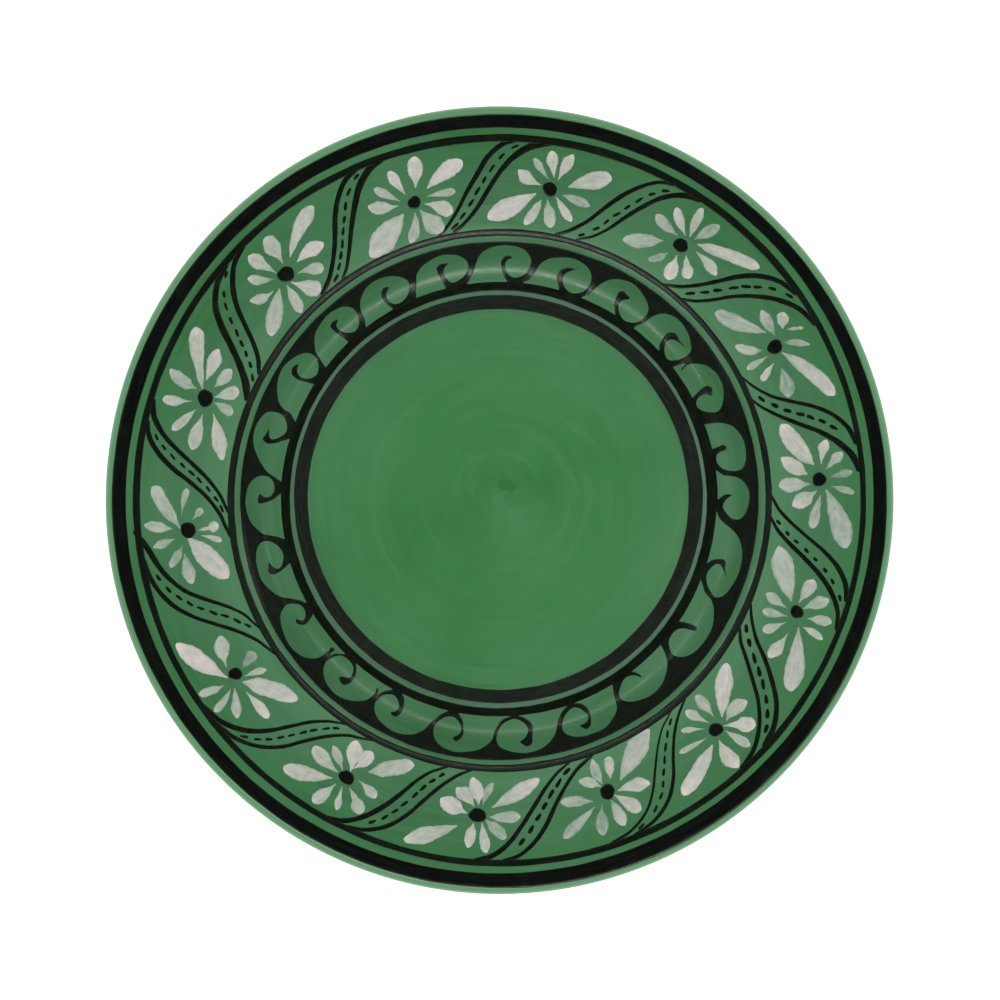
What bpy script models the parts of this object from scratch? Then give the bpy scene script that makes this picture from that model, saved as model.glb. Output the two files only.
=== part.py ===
"""A hand painted, wheel thrown ceramic plate with a wide rim, a shallow well and a
foot ring, in metres, +Z up.  The origin is the centre of the foot ring's resting
plane, and the plate is turned about +Z.

Each layer of material is its own object: the fired clay, the foot ring under it,
the glaze coats, the bands of black slip, the scroll frieze, the S-shaped ribbons
across the rim, and the white slip flowers with their black eyes.

Lengths below are in millimetres and angles in degrees, anticlockwise from +X seen
from above, unless a comment says otherwise.
"""

import math

import bmesh
import bpy

MM = 0.001                    # metres in a millimetre

# Layers -----------------------------------------------------------------------
GLAZE = 0.35                  # thickness of a glaze coat
SLIP = 0.25                   # thickness of a painted slip layer
GAP = 0.05                    # clearance between one layer and the next
GLAZE_LOW = GAP               # heights of each layer's two sides over the clay
GLAZE_HIGH = GAP + GLAZE
PAINT_LOW = 2 * GAP + GLAZE
PAINT_HIGH = PAINT_LOW + SLIP

# Clay body --------------------------------------------------------------------
PLATE_RADIUS = 135.0          # over the glaze
LIP_R = PLATE_RADIUS - GAP - GLAZE
CROWN_R = 131.5               # highest circle of the lip
CROWN_Z = 26.0
SHOULDER_R = 92.5             # where the well turns over into the rim
FLOOR_FLAT_R = 64.5           # the floor is flat out to here
FLOOR_Z = 7.6                 # floor of the well
UNDER_Z = 3.0                 # underside, inside and beside the foot ring

# Clay face from the centre of the well to the outermost point of the lip: radius, z
FACE_LINE = [
    (0.0, FLOOR_Z),
    (FLOOR_FLAT_R, FLOOR_Z),
    (71.0, FLOOR_Z + 0.45),
    (76.0, FLOOR_Z + 1.6),
    (80.5, FLOOR_Z + 3.9),
    (88.0, FLOOR_Z + 9.3),
    (SHOULDER_R, FLOOR_Z + 11.6),
    (98.0, FLOOR_Z + 13.0),
    (126.5, CROWN_Z - 0.75),
    (CROWN_R, CROWN_Z),
    (LIP_R - 0.9, CROWN_Z - 0.9),
    (LIP_R, CROWN_Z - 2.6),
]

# Clay underside from the lip back to the centre: radius, z
UNDER_LINE = [
    (LIP_R - 1.4, CROWN_Z - 4.2),
    (LIP_R - 5.5, CROWN_Z - 5.3),
    (99.0, FLOOR_Z + 8.0),
    (93.0, FLOOR_Z + 5.8),
    (82.0, UNDER_Z + 3.0),
    (76.6, UNDER_Z),
    (0.0, UNDER_Z),
]

# Foot ring and the glaze round it ---------------------------------------------
FOOT_OUT_R = 75.7             # where it meets the body
FOOT_IN_R = 69.3
FOOT_REST_OUT_R = 74.6        # flat that rests on the table
FOOT_REST_IN_R = 70.4
FOOT_CHAMFER_WIDTH = 0.7
FOOT_CHAMFER_HEIGHT = 0.8

# Ends of the clay line under the back coat, at the lip and at the foot: radius, z
BACK_GLAZE_LIP_END = (LIP_R - 1.9, CROWN_Z - 4.34)
BACK_GLAZE_FOOT_END = (FOOT_OUT_R + 1.3, UNDER_Z + 0.24)
FOOT_WELL_MARGIN = 0.5        # bare clay between the foot ring and the glaze inside it

# Painted bands: inner and outer radius of each --------------------------------
BANDS = {
    "well_band": (65.4, 70.3),
    "shoulder_line": (91.0, 93.4),
    "rim_line": (123.2, 125.7),
    "lip_band": (128.0, 132.5),
}
FRIEZE = (71.7, 89.1)
MOTIF_SHEET = (92.6, 124.6)   # sheets of slip that the rim motifs are cut from

# Scroll frieze ----------------------------------------------------------------
SCROLLS = 23
SCROLL_PHASE = 10.0           # direction of the first scroll
SCROLL_FOOT_R = 75.2
SCROLL_TOP_R = 86.6

# One window: angle from its centre, height as a share of foot to top
SCROLL_SHAPE = (
    (7.2, 0.0), (6.4, 0.36), (4.2, 0.78), (0.4, 1.0), (-3.4, 0.88),
    (-5.8, 0.52), (-4.6, 0.14), (-2.4, 0.06),
    (-0.9, 0.30), (-1.1, 0.58), (-2.3, 0.70), (-0.2, 0.74),
    (0.6, 0.40), (0.2, 0.0),
)

# Ribbons ----------------------------------------------------------------------
RIBBON_IN_R = 94.1
RIBBON_OUT_R = 122.5
RIBBON_WIDTH = 7.6            # over both lines, square to the ribbon, at mid length
RIBBON_LINE = 1.7             # width of each line
RIBBON_SWEEP = 15.0           # unit for the angles of the poles
RIBBON_END_WIDTH = 0.45       # width at the ends of the S, as a share of the full width
RIBBON_SPAN = (0.10, 0.90)    # stretch of the S that the ribbon covers
RIBBON_HOLE_SPAN = (0.17, 0.83)
RIBBON_HOLE_INSET = 1.0       # least distance of the hole from both end circles
RIBBON_STATIONS = 8           # points along each side
TANGENT_STEP = 0.02           # each way along the S, to find its direction

# Bezier poles of the S: angle in sweeps, share of the way from inner to outer radius
RIBBON_POLES = ((0.56, 0.0), (0.08, 0.14), (-0.22, 0.91), (-0.58, 1.0))

# Flowers ----------------------------------------------------------------------
# Each flower's eye: direction, distance from the axis, diameter
FLOWERS = (
    (3.7, 109.8, 4.9), (29.1, 108.0, 5.2), (54.6, 107.2, 5.1), (80.8, 108.0, 5.0),
    (106.0, 106.2, 4.5), (133.4, 106.6, 5.7), (160.9, 106.8, 5.7), (185.5, 107.3, 5.5),
    (213.3, 108.4, 4.6), (241.1, 108.6, 5.2), (266.0, 108.3, 5.5), (290.3, 106.6, 5.3),
    (313.3, 108.1, 4.9), (339.4, 108.9, 4.6),
)

# Each petal: direction, distance to its tip, width.  Direction 90 points out of the
# plate and 0 points clockwise along the rim.
PETALS = (
    (21, 25.0, 5.4), (68, 13.8, 3.8), (102, 13.4, 3.4), (138, 13.2, 3.7), (173, 13.2, 4.0),
    (214, 22.8, 6.2), (246, 13.2, 3.4), (279, 12.6, 3.8), (315, 12.4, 3.7), (349, 13.8, 3.7),
)
PETAL_WIDEST = 0.70           # place of the widest point, as a share of the tip distance
PETAL_ROOT_SWING = 9          # half angle of a petal where it leaves the ring
PETAL_ROOT_RISE = 0.3         # height of that place over the ring
HUB_GAP = 0.4                 # between an eye and the ring that joins its petals
HUB_WIDTH = 0.9
LEAN = 3.0                    # most that a flower leans either way
LEAN_STEP = 2.4               # radians of the lean's sine from flower to flower
FULL_SPACING = 24.5           # flowers with a nearer neighbour have shorter petals

# Mesh settings ----------------------------------------------------------------
TURN_STEPS = 60               # facets round every turned piece
TURN_MERGE = 0.02
STENCIL_Z = 22.0              # mid height of the upright prisms that cut the slip
STENCIL_HALF_HEIGHT = 16.0
STENCIL_MERGE = 0.01
EYE_HEIGHT = 24.0             # before it is trimmed to the slip
EYE_SIDES = 12
SHARP_ANGLE = 30              # edges that turn by more than this stay sharp


# Scene and materials ----------------------------------------------------------
for old in list(bpy.data.objects):
    bpy.data.objects.remove(old)


def new_collection(name):
    made = bpy.data.collections.new(name)
    bpy.context.scene.collection.children.link(made)
    return made


def material(name, colour, roughness):
    """A plain non-metal in a linear RGB colour."""
    look = bpy.data.materials.new(name)
    look.use_nodes = True
    shader = look.node_tree.nodes["Principled BSDF"]
    shader.inputs["Base Color"].default_value = (*colour, 1.0)
    shader.inputs["Roughness"].default_value = roughness
    shader.inputs["Metallic"].default_value = 0.0
    look.diffuse_color = (*colour, 1.0)
    return look


PLATE = new_collection("hand_painted_plate")
CUTTERS = new_collection("stencils")

BARE_CLAY = material("bare_clay", colour=(0.46, 0.24, 0.15), roughness=0.85)
GREEN_GLAZE = material("green_glaze", colour=(0.045, 0.175, 0.070), roughness=0.16)
BLACK_SLIP = material("black_slip", colour=(0.006, 0.007, 0.006), roughness=0.22)
WHITE_SLIP = material("white_slip", colour=(0.55, 0.54, 0.49), roughness=0.35)


# Turned pieces ----------------------------------------------------------------
def offset(points, distance):
    """The polyline moved square to itself, point by point.
    Its left side, looking along it, is the positive side."""
    moved = []
    for i, (radius, z) in enumerate(points):
        normals = []
        for a, b in ((i - 1, i), (i, i + 1)):
            if a < 0 or b >= len(points):
                continue
            run, rise = points[b][0] - points[a][0], points[b][1] - points[a][1]
            length = math.hypot(run, rise)
            normals.append((-rise / length, run / length))
        if radius == 0.0:
            # A point on the axis stays on it.
            normals = [(0.0, math.copysign(1.0, normals[0][1]))]
        normal_r = sum(normal[0] for normal in normals) / len(normals)
        normal_z = sum(normal[1] for normal in normals) / len(normals)
        mitre = distance / (normal_r * normal_r + normal_z * normal_z)
        moved.append((radius + normal_r * mitre, z + normal_z * mitre))
    return moved


def coat(points, low, high):
    """The section of a layer between two heights over a line: its upper side
    outwards, then its lower side back."""
    return offset(points, high) + offset(points, low)[::-1]


def face_strip(inner_r, outer_r, height):
    """The part of the clay face over radii inner_r to outer_r, lifted by height."""
    lifted = offset(FACE_LINE, height)
    strip = []
    for i in range(len(FACE_LINE) - 1):
        start, end = FACE_LINE[i][0], FACE_LINE[i + 1][0]
        for radius in (inner_r, outer_r):
            if start < radius < end:
                t = (radius - start) / (end - start)
                point = tuple(a + (b - a) * t for a, b in zip(lifted[i], lifted[i + 1]))
                strip.append((radius, point))
        if inner_r <= start <= outer_r:
            strip.append((start, lifted[i]))
    return [point for _, point in sorted(strip)]


def turned(name, profile, look, closed=True, collection=PLATE):
    """A profile turned right round +Z by a Screw modifier.  It runs clockwise, seen
    with the radius to the right and z up.  An open one starts and ends as given."""
    mesh = bpy.data.meshes.new(name)
    edges = [(i, i + 1) for i in range(len(profile) - 1)]
    if closed:
        edges.append((len(profile) - 1, 0))
    mesh.from_pydata([(radius * MM, 0.0, z * MM) for radius, z in profile], edges, [])
    mesh.materials.append(look)
    obj = bpy.data.objects.new(name, mesh)
    collection.objects.link(obj)
    screw = obj.modifiers.new("turn", "SCREW")
    screw.axis = "Z"
    screw.angle = math.tau
    screw.steps = TURN_STEPS
    screw.render_steps = TURN_STEPS
    screw.use_merge_vertices = True
    screw.merge_threshold = TURN_MERGE * MM
    screw.use_smooth_shade = True
    return obj


def band(name, radii, look=BLACK_SLIP, collection=PLATE):
    """A ring of slip that follows the glazed face between two radii."""
    profile = face_strip(*radii, PAINT_HIGH) + face_strip(*radii, PAINT_LOW)[::-1]
    return turned(name, profile, look, collection=collection)


def build_body():
    turned("clay_body", FACE_LINE + UNDER_LINE, BARE_CLAY, closed=False)


def build_foot_ring():
    top = UNDER_Z - GAP
    profile = [
        (FOOT_OUT_R, top),
        (FOOT_REST_OUT_R + FOOT_CHAMFER_WIDTH, FOOT_CHAMFER_HEIGHT),
        (FOOT_REST_OUT_R, 0.0),
        (FOOT_REST_IN_R, 0.0),
        (FOOT_REST_IN_R - FOOT_CHAMFER_WIDTH, FOOT_CHAMFER_HEIGHT),
        (FOOT_IN_R, top),
    ]
    turned("foot_ring", profile, BARE_CLAY)


def build_face_glaze():
    """The face coat laps over the lip."""
    over_lip = FACE_LINE + UNDER_LINE[:1]
    turned("face_glaze", coat(over_lip, GLAZE_LOW, GLAZE_HIGH), GREEN_GLAZE, closed=False)


def build_back_glaze():
    """The back coat starts under the lip and stops short of the foot ring."""
    back = [BACK_GLAZE_LIP_END] + UNDER_LINE[1:-2] + [BACK_GLAZE_FOOT_END]
    turned("back_glaze", coat(back, GLAZE_LOW, GLAZE_HIGH), GREEN_GLAZE)


def build_foot_well_glaze():
    """A flat disc under the body, inside the foot ring."""
    edge = FOOT_IN_R - FOOT_WELL_MARGIN
    top = UNDER_Z - GAP
    bottom = top - GLAZE
    profile = [(0.0, top), (edge, top), (edge, bottom), (0.0, bottom)]
    turned("foot_well_glaze", profile, GREEN_GLAZE, closed=False)


# Stencils ---------------------------------------------------------------------
def stencil(name, outlines, look, collection=PLATE):
    """An upright prism on one outline, or on an outline and its hole, as a mesh."""
    curve = bpy.data.curves.new(name, "CURVE")
    curve.dimensions = "2D"
    curve.fill_mode = "BOTH"
    curve.extrude = STENCIL_HALF_HEIGHT * MM
    for outline in outlines:
        spline = curve.splines.new("POLY")
        spline.points.add(len(outline) - 1)
        for point, (x, y) in zip(spline.points, outline):
            point.co = (x * MM, y * MM, 0.0, 1.0)
        spline.use_cyclic_u = True
    source = bpy.data.objects.new(name + ".flat", curve)
    bpy.context.scene.collection.objects.link(source)
    source.location.z = STENCIL_Z * MM
    bpy.context.view_layer.update()
    graph = bpy.context.evaluated_depsgraph_get()
    mesh = bpy.data.meshes.new_from_object(source.evaluated_get(graph))

    # The filled faces and the walls come apart; joining them makes a solid.
    work = bmesh.new()
    work.from_mesh(mesh)
    bmesh.ops.remove_doubles(work, verts=work.verts, dist=STENCIL_MERGE * MM)
    bmesh.ops.recalc_face_normals(work, faces=work.faces)
    work.to_mesh(mesh)
    work.free()

    mesh.name = name
    mesh.materials.clear()
    mesh.materials.append(look)
    obj = bpy.data.objects.new(name, mesh)
    obj.matrix_world = source.matrix_world
    collection.objects.link(obj)
    bpy.data.objects.remove(source)
    return obj


def as_cutter(obj):
    obj.hide_render = True
    obj.display_type = "WIRE"
    return obj


def boolean(obj, other, operation):
    modifier = obj.modifiers.new(operation.lower(), "BOOLEAN")
    modifier.operation = operation
    modifier.object = other
    modifier.solver = "EXACT"


def at(angle, radius):
    """The x and y of a point given by its direction and distance."""
    return radius * math.cos(math.radians(angle)), radius * math.sin(math.radians(angle))


# Scroll frieze ----------------------------------------------------------------
def scroll_window(centre):
    """The green wave left bare in the black frieze: an arch whose clockwise side rolls
    under, with the black hook entering it from the inner side."""
    rise = SCROLL_TOP_R - SCROLL_FOOT_R
    return [at(centre + angle, SCROLL_FOOT_R + rise * height) for angle, height in SCROLL_SHAPE]


def build_frieze():
    frieze = band("scroll_frieze", FRIEZE)
    pitch = 360.0 / SCROLLS
    for k in range(SCROLLS):
        window = scroll_window(SCROLL_PHASE + pitch * k)
        name = "scroll_window_%02d" % (k + 1)
        cutter = as_cutter(stencil(name, [window], BLACK_SLIP, CUTTERS))
        boolean(frieze, cutter, "DIFFERENCE")


# Rim motifs -------------------------------------------------------------------
def ribbon_middle(centre, t):
    """A point on the S, from its inner end at t = 0 to its outer end at t = 1."""
    weights = ((1 - t) ** 3, 3 * t * (1 - t) ** 2, 3 * t * t * (1 - t), t ** 3)
    angle = sum(w * turn * RIBBON_SWEEP for w, (turn, _) in zip(weights, RIBBON_POLES))
    spread = RIBBON_OUT_R - RIBBON_IN_R
    radius = sum(w * (RIBBON_IN_R + way * spread) for w, (_, way) in zip(weights, RIBBON_POLES))
    return at(centre + angle, radius)


def ribbon_side(centre, half_width, span, inset):
    """One side of the ribbon; a positive half width is left of the S, looking outwards."""
    first, last = span
    points = []
    for i in range(RIBBON_STATIONS):
        t = first + (last - first) * i / (RIBBON_STATIONS - 1)
        x0, y0 = ribbon_middle(centre, t - TANGENT_STEP)
        x1, y1 = ribbon_middle(centre, t + TANGENT_STEP)
        length = math.hypot(x1 - x0, y1 - y0)
        swell = RIBBON_END_WIDTH + (1 - RIBBON_END_WIDTH) * math.sin(math.pi * t)
        reach = half_width * swell
        x, y = ribbon_middle(centre, t)
        x -= (y1 - y0) / length * reach
        y += (x1 - x0) / length * reach
        # An end stops at the circle it runs up to.
        radius = math.hypot(x, y)
        kept = min(max(radius, RIBBON_IN_R + inset), RIBBON_OUT_R - inset)
        points.append((x * kept / radius, y * kept / radius))
    return points


def ribbon_loop(centre, half_width, span, inset=0.0):
    there = ribbon_side(centre, half_width, span, inset)
    back = ribbon_side(centre, -half_width, span, inset)[::-1]
    return there + back


def ribbon_outlines(centre):
    """Two lines that run in an S across the rim, joined at both ends, as an outline
    and its hole."""
    half = RIBBON_WIDTH / 2
    return [
        ribbon_loop(centre, half, RIBBON_SPAN),
        ribbon_loop(centre, half - RIBBON_LINE, RIBBON_HOLE_SPAN, RIBBON_HOLE_INSET),
    ]


def flower_outlines(centre, distance, eye_r, lean, reach):
    """Two long and eight short petals on a ring round the eye, as an outline and
    its hole.  The tip distances are multiplied by reach."""
    hub_in = eye_r + HUB_GAP
    hub_out = hub_in + HUB_WIDTH
    root = hub_out + PETAL_ROOT_RISE
    next_directions = [petal[0] for petal in PETALS[1:]] + [PETALS[0][0] + 360]
    outline = []
    for (direction, tip, width), following in zip(PETALS, next_directions):
        tip *= reach
        widest = PETAL_WIDEST * tip
        swing = math.degrees(math.atan2(width / 2, widest))
        outline += [
            (direction - PETAL_ROOT_SWING, root),
            (direction - swing, widest),
            (direction, tip),
            (direction + swing, widest),
            (direction + PETAL_ROOT_SWING, root),
            ((direction + following) / 2, hub_out),
        ]
    hole = [at(30 * i, hub_in) for i in range(12)]
    turn = centre - 90 + lean
    petals = [at(turn + angle, radius) for angle, radius in outline]
    centre_x, centre_y = at(centre, distance)
    return [[(centre_x + x, centre_y + y) for x, y in loop] for loop in (petals, hole)]


def eye_cylinder(name, angle, distance, diameter):
    x, y = at(angle, distance)
    bpy.ops.mesh.primitive_cylinder_add(
        vertices=EYE_SIDES,
        radius=diameter / 2 * MM,
        depth=EYE_HEIGHT * MM,
        location=(x * MM, y * MM, STENCIL_Z * MM),
        end_fill_type="NGON",
    )
    eye = bpy.context.object
    eye.name = eye.data.name = name
    eye.data.materials.append(BLACK_SLIP)
    for holder in list(eye.users_collection):
        holder.objects.unlink(eye)
    PLATE.objects.link(eye)
    return eye


def finish_motif(piece, sheet, parent):
    """Trims a prism to its sheet of slip, shades it and groups it."""
    boolean(piece, sheet, "INTERSECT")
    piece.data.shade_smooth()
    piece.data.set_sharp_from_angle(angle=math.radians(SHARP_ANGLE))
    piece.parent = parent


def build_rim():
    """A flower at each place in FLOWERS, and a ribbon midway to the next one."""
    motifs = bpy.data.objects.new("face_motifs", None)
    PLATE.objects.link(motifs)
    black_sheet = as_cutter(band("black_sheet", MOTIF_SHEET, BLACK_SLIP, CUTTERS))
    white_sheet = as_cutter(band("white_sheet", MOTIF_SHEET, WHITE_SLIP, CUTTERS))

    angles = [flower[0] for flower in FLOWERS]
    befores = [angles[-1] - 360] + angles[:-1]
    afters = angles[1:] + [angles[0] + 360]
    for k, (angle, distance, diameter) in enumerate(FLOWERS):
        number = "%02d" % (k + 1)
        ribbon = stencil(
            "ribbon_" + number, ribbon_outlines((angle + afters[k]) / 2), BLACK_SLIP
        )
        finish_motif(ribbon, black_sheet, motifs)

        lean = LEAN * math.sin(LEAN_STEP * k)
        spacing = min(afters[k] - angle, angle - befores[k])
        reach = min(1.0, spacing / FULL_SPACING)
        outlines = flower_outlines(angle, distance, diameter / 2, lean, reach)
        flower = stencil("flower_" + number, outlines, WHITE_SLIP)
        finish_motif(flower, white_sheet, motifs)

        eye = eye_cylinder("flower_eye_" + number, angle, distance, diameter)
        finish_motif(eye, black_sheet, motifs)


build_body()
build_foot_ring()
build_face_glaze()
build_back_glaze()
build_foot_well_glaze()
for band_name, band_radii in BANDS.items():
    band(band_name, band_radii)
build_frieze()
build_rim()
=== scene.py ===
"""The looks of a hand painted ceramic plate.

The plate lies face up on the floor, turned about Z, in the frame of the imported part.  Lengths
are in millimetres unless a name says otherwise, angles in degrees anticlockwise from +X as
seen from above, and radii are taken from the turning axis.  Every piece is a closed mesh.
"""
import math

import bpy
import numpy as np
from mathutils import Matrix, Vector, kdtree
from mathutils.geometry import delaunay_2d_cdt


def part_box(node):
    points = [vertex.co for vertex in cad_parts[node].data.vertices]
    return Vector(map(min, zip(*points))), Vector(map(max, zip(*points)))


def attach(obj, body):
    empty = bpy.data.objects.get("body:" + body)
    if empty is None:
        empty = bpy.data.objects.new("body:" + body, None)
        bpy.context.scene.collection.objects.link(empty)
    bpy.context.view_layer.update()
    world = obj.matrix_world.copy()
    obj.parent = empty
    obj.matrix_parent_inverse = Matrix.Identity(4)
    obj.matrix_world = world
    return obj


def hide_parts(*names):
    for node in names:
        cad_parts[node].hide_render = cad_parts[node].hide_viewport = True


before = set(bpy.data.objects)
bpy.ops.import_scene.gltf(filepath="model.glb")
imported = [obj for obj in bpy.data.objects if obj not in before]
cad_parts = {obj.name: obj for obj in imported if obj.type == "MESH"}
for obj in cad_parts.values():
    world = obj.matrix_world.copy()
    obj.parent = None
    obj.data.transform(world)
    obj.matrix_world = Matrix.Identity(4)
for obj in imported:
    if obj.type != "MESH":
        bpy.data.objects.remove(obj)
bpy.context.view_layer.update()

MM = 0.001
TURN = 2 * np.pi

FLOOR_Z = 8.0                  # glazed floor of the well
CROWN_Z = 26.4                 # glazed crown of the lip
CROWN_R = 131.0
LIP_OUT, LIP_DROP = 4.08, 2.8  # half axes of the rounded lip
GLAZE_THICK = 0.35
CLAY_DEPTH = 0.42              # from the glazed surface to the clay body
WELL_TOP, WELL_UNDER = 2.97, 2.56   # glaze inside the foot ring: its hidden and its seen side

EDGE_SINK = 0.03               # how far a painted edge lies below the glaze
UNDER_SINK = 0.09              # and the underside of the paint
EDGE_NEAR, EDGE_WIDE = 0.11, 0.32   # where a painted edge has points; beyond, it is flat
PAINT_DOME = 0.10              # height of bands and frieze


# ---------------------------------------------------------------------------------
# Curves
# ---------------------------------------------------------------------------------
def at(deg, r):
    a = np.radians(deg)
    return np.stack([r * np.cos(a), r * np.sin(a)], -1)


def spline(points, per=8):
    """A centripetal Catmull-Rom curve through the points, with per steps to a span."""
    ends = np.array(points, float)
    ends = np.concatenate([2 * ends[:1] - ends[1:2], ends, 2 * ends[-1:] - ends[-2:-1]])
    curve = []
    for i in range(1, len(ends) - 2):
        level = ends[i - 1:i + 3]
        gaps = np.maximum(np.linalg.norm(np.diff(level, axis=0), axis=1), 1e-6) ** 0.5
        knots = np.concatenate([[0.0], np.cumsum(gaps)])
        t = np.linspace(knots[1], knots[2], per, endpoint=False)[:, None]

        def between(start, end, a, b):
            span = knots[b] - knots[a]
            return (knots[b] - t) / span * start + (t - knots[a]) / span * end

        level = [between(level[j], level[j + 1], j, j + 1) for j in range(3)]
        level = [between(level[j], level[j + 1], j, j + 2) for j in range(2)]
        curve.append(between(*level, 1, 2))
    return np.concatenate(curve + [ends[-2:-1]])


def run_along(path):
    """The length of the path up to each of its points."""
    steps = np.linalg.norm(np.diff(path, axis=0), axis=1)
    return np.concatenate([[0], np.cumsum(steps)])


def resample(path, count):
    run = run_along(path)
    places = np.linspace(0, run[-1], count)
    return np.stack([np.interp(places, run, column) for column in path.T], -1)


def left_of(tangent):
    """Unit vectors square to the tangents, to their left."""
    unit = tangent / np.maximum(np.linalg.norm(tangent, axis=1)[:, None], 1e-9)
    return np.stack([-unit[:, 1], unit[:, 0]], -1)


def outline_offset(points, distance):
    """An open section moved square to itself, to its left."""
    points = np.array(points, float)
    return points + left_of(np.gradient(points, axis=0)) * distance


def rounded(share, least=0.0):
    """A quarter circle that rises as share goes from 0 to 1."""
    return np.sqrt(np.clip(1 - (1 - share) ** 2, least, 1))


def in_region(points, loops):
    """Even-odd rule over all the outlines."""
    inside = np.zeros(len(points), bool)
    for loop in loops:
        low, high = loop.min(0), loop.max(0)
        near = np.flatnonzero(((points >= low) & (points <= high)).all(1))
        if not len(near):
            continue
        px, py = points[near, 0], points[near, 1]
        hit = np.zeros(len(near), bool)
        for (x0, y0), (x1, y1) in zip(loop, np.roll(loop, -1, 0)):
            if y0 == y1:
                continue
            crosses = (y0 > py) != (y1 > py)
            hit ^= crosses & (px < (x1 - x0) * (py - y0) / (y1 - y0) + x0)
        inside[near] ^= hit
    return inside


def number_table(text):
    """A text table as numbers: a list of paragraphs, each a list of lines."""
    return [[np.array(line.split(), float) for line in part.splitlines()]
            for part in text.strip().split("\n\n")]


# ---------------------------------------------------------------------------------
# The glazed face: its turned section, and the slight unevenness of hand throwing
# ---------------------------------------------------------------------------------
# Radius and slope; the heights are scaled afterwards to reach from FLOOR_Z to CROWN_Z.
SLOPES = (
    (0, 0), (58, 0), (63, 0.012), (67, 0.05), (71, 0.125), (74, 0.22), (76.5, 0.33),
    (78.8, 0.424), (81, 0.59), (83, 0.75), (85, 0.82), (87, 0.79), (89, 0.67), (91, 0.53),
    (92.8, 0.424), (94.5, 0.32), (96.5, 0.235), (98.5, 0.185), (101, 0.163), (110, 0.157),
    (122, 0.157), (126, 0.15), (128.5, 0.115), (130, 0.06), (131, 0.0),
)
TABLE_STEP = 0.1
SLOPE_BLUR = 0.9


def lip_arc(first, last, step):
    phi = np.radians(np.arange(first, last + 0.01, step))
    return np.stack([CROWN_R + LIP_OUT * np.sin(phi), CROWN_Z - LIP_DROP * (1 - np.cos(phi))], -1)


def face_table():
    r = np.arange(0.0, CROWN_R + 0.001, TABLE_STEP)
    slope = np.interp(r, *zip(*SLOPES))
    reach = 30
    kernel = np.exp(-0.5 * (np.arange(-reach, reach + 1) * TABLE_STEP / SLOPE_BLUR) ** 2)
    kernel /= kernel.sum()
    slope = np.convolve(np.pad(slope, reach, mode="edge"), kernel, mode="valid")
    slope[-1] = 0.0
    z = np.concatenate([[0.0], np.cumsum((slope[1:] + slope[:-1]) * TABLE_STEP / 2)])
    z = FLOOR_Z + z * (CROWN_Z - FLOOR_Z) / z[-1]
    return np.concatenate([np.stack([r, z], -1), lip_arc(1.0, 90.0, 1.0)]).T


FACE_R, FACE_Z = face_table()


def slow_warp(th):
    return 0.10 * np.sin(2 * th + 0.7) + 0.06 * np.sin(3 * th + 2.0)


def uneven(r, th):
    """Throwing lines and a slow warp of the rim.  It goes right round without a step."""
    rings = (0.016 * np.sin(TURN * r / 7.3 + th)
             + 0.009 * np.sin(TURN * r / 3.1 + 2 * th + 1.0))
    warp = slow_warp(th) + 0.03 * np.sin(5 * th + 0.4)
    dents = (0.022 * np.sin(11 * th + r * 0.21) * np.sin(r * 0.33 + 1.3)
             + 0.014 * np.sin(19 * th - r * 0.17))
    fade = np.clip(r / 40.0, 0, 1)
    return rings * fade + warp * (r / 135.0) ** 2 + dents * (r / 100.0) ** 2


def surface(x, y):
    r = np.hypot(x, y)
    return np.interp(r, FACE_R, FACE_Z) + uneven(r, np.arctan2(y, x))


# ---------------------------------------------------------------------------------
# Mesh building
# ---------------------------------------------------------------------------------
def make_object(name, node, look, verts, faces, sharp, attributes=()):
    """A smooth object that replaces one node of the part.  sharp is in degrees."""
    mesh = bpy.data.meshes.new(name)
    mesh.from_pydata((np.asarray(verts) * MM).tolist(), [], faces)
    mesh.validate()
    for key, values in dict(attributes).items():
        values = np.asarray(values, np.float32)
        kind, field = ("FLOAT_VECTOR", "vector") if values.ndim == 2 else ("FLOAT", "value")
        mesh.attributes.new(key, kind, "POINT").data.foreach_set(field, values.ravel())
    mesh.materials.append(look)
    mesh.shade_smooth()
    mesh.set_sharp_from_angle(angle=math.radians(sharp))
    obj = bpy.data.objects.new(name, mesh)
    bpy.context.scene.collection.objects.link(obj)
    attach(obj, "root")
    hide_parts(node)


def turned(name, node, look, profile, steps, lift):
    """Turns a section about the axis.  A section that starts off the axis is closed on
    itself.  lift(index, r, angle) raises points by an uneven amount."""
    th = np.arange(steps) * TURN / steps
    verts, rows = [], []
    for i, (r, z) in enumerate(profile):
        if r < 1e-6:
            rows.append(np.full(steps, len(verts)))
            verts.append((0.0, 0.0, z))
            continue
        rows.append(np.arange(steps) + len(verts))
        verts.extend(zip(r * np.cos(th), r * np.sin(th), z + lift(i, r, th)))
    pairs = list(zip(rows, rows[1:]))
    if profile[0][0] > 1e-6:
        pairs.append((rows[-1], rows[0]))
    faces = []
    for a, b in pairs:
        for quad in np.stack([a, b, np.roll(b, -1), np.roll(a, -1)], -1).tolist():
            if quad[0] == quad[3]:
                quad = quad[:3]
            elif quad[1] == quad[2]:
                quad = [quad[0], quad[1], quad[3]]
            faces.append(quad)
    make_object(name, node, look, verts, faces, sharp=40)


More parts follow.
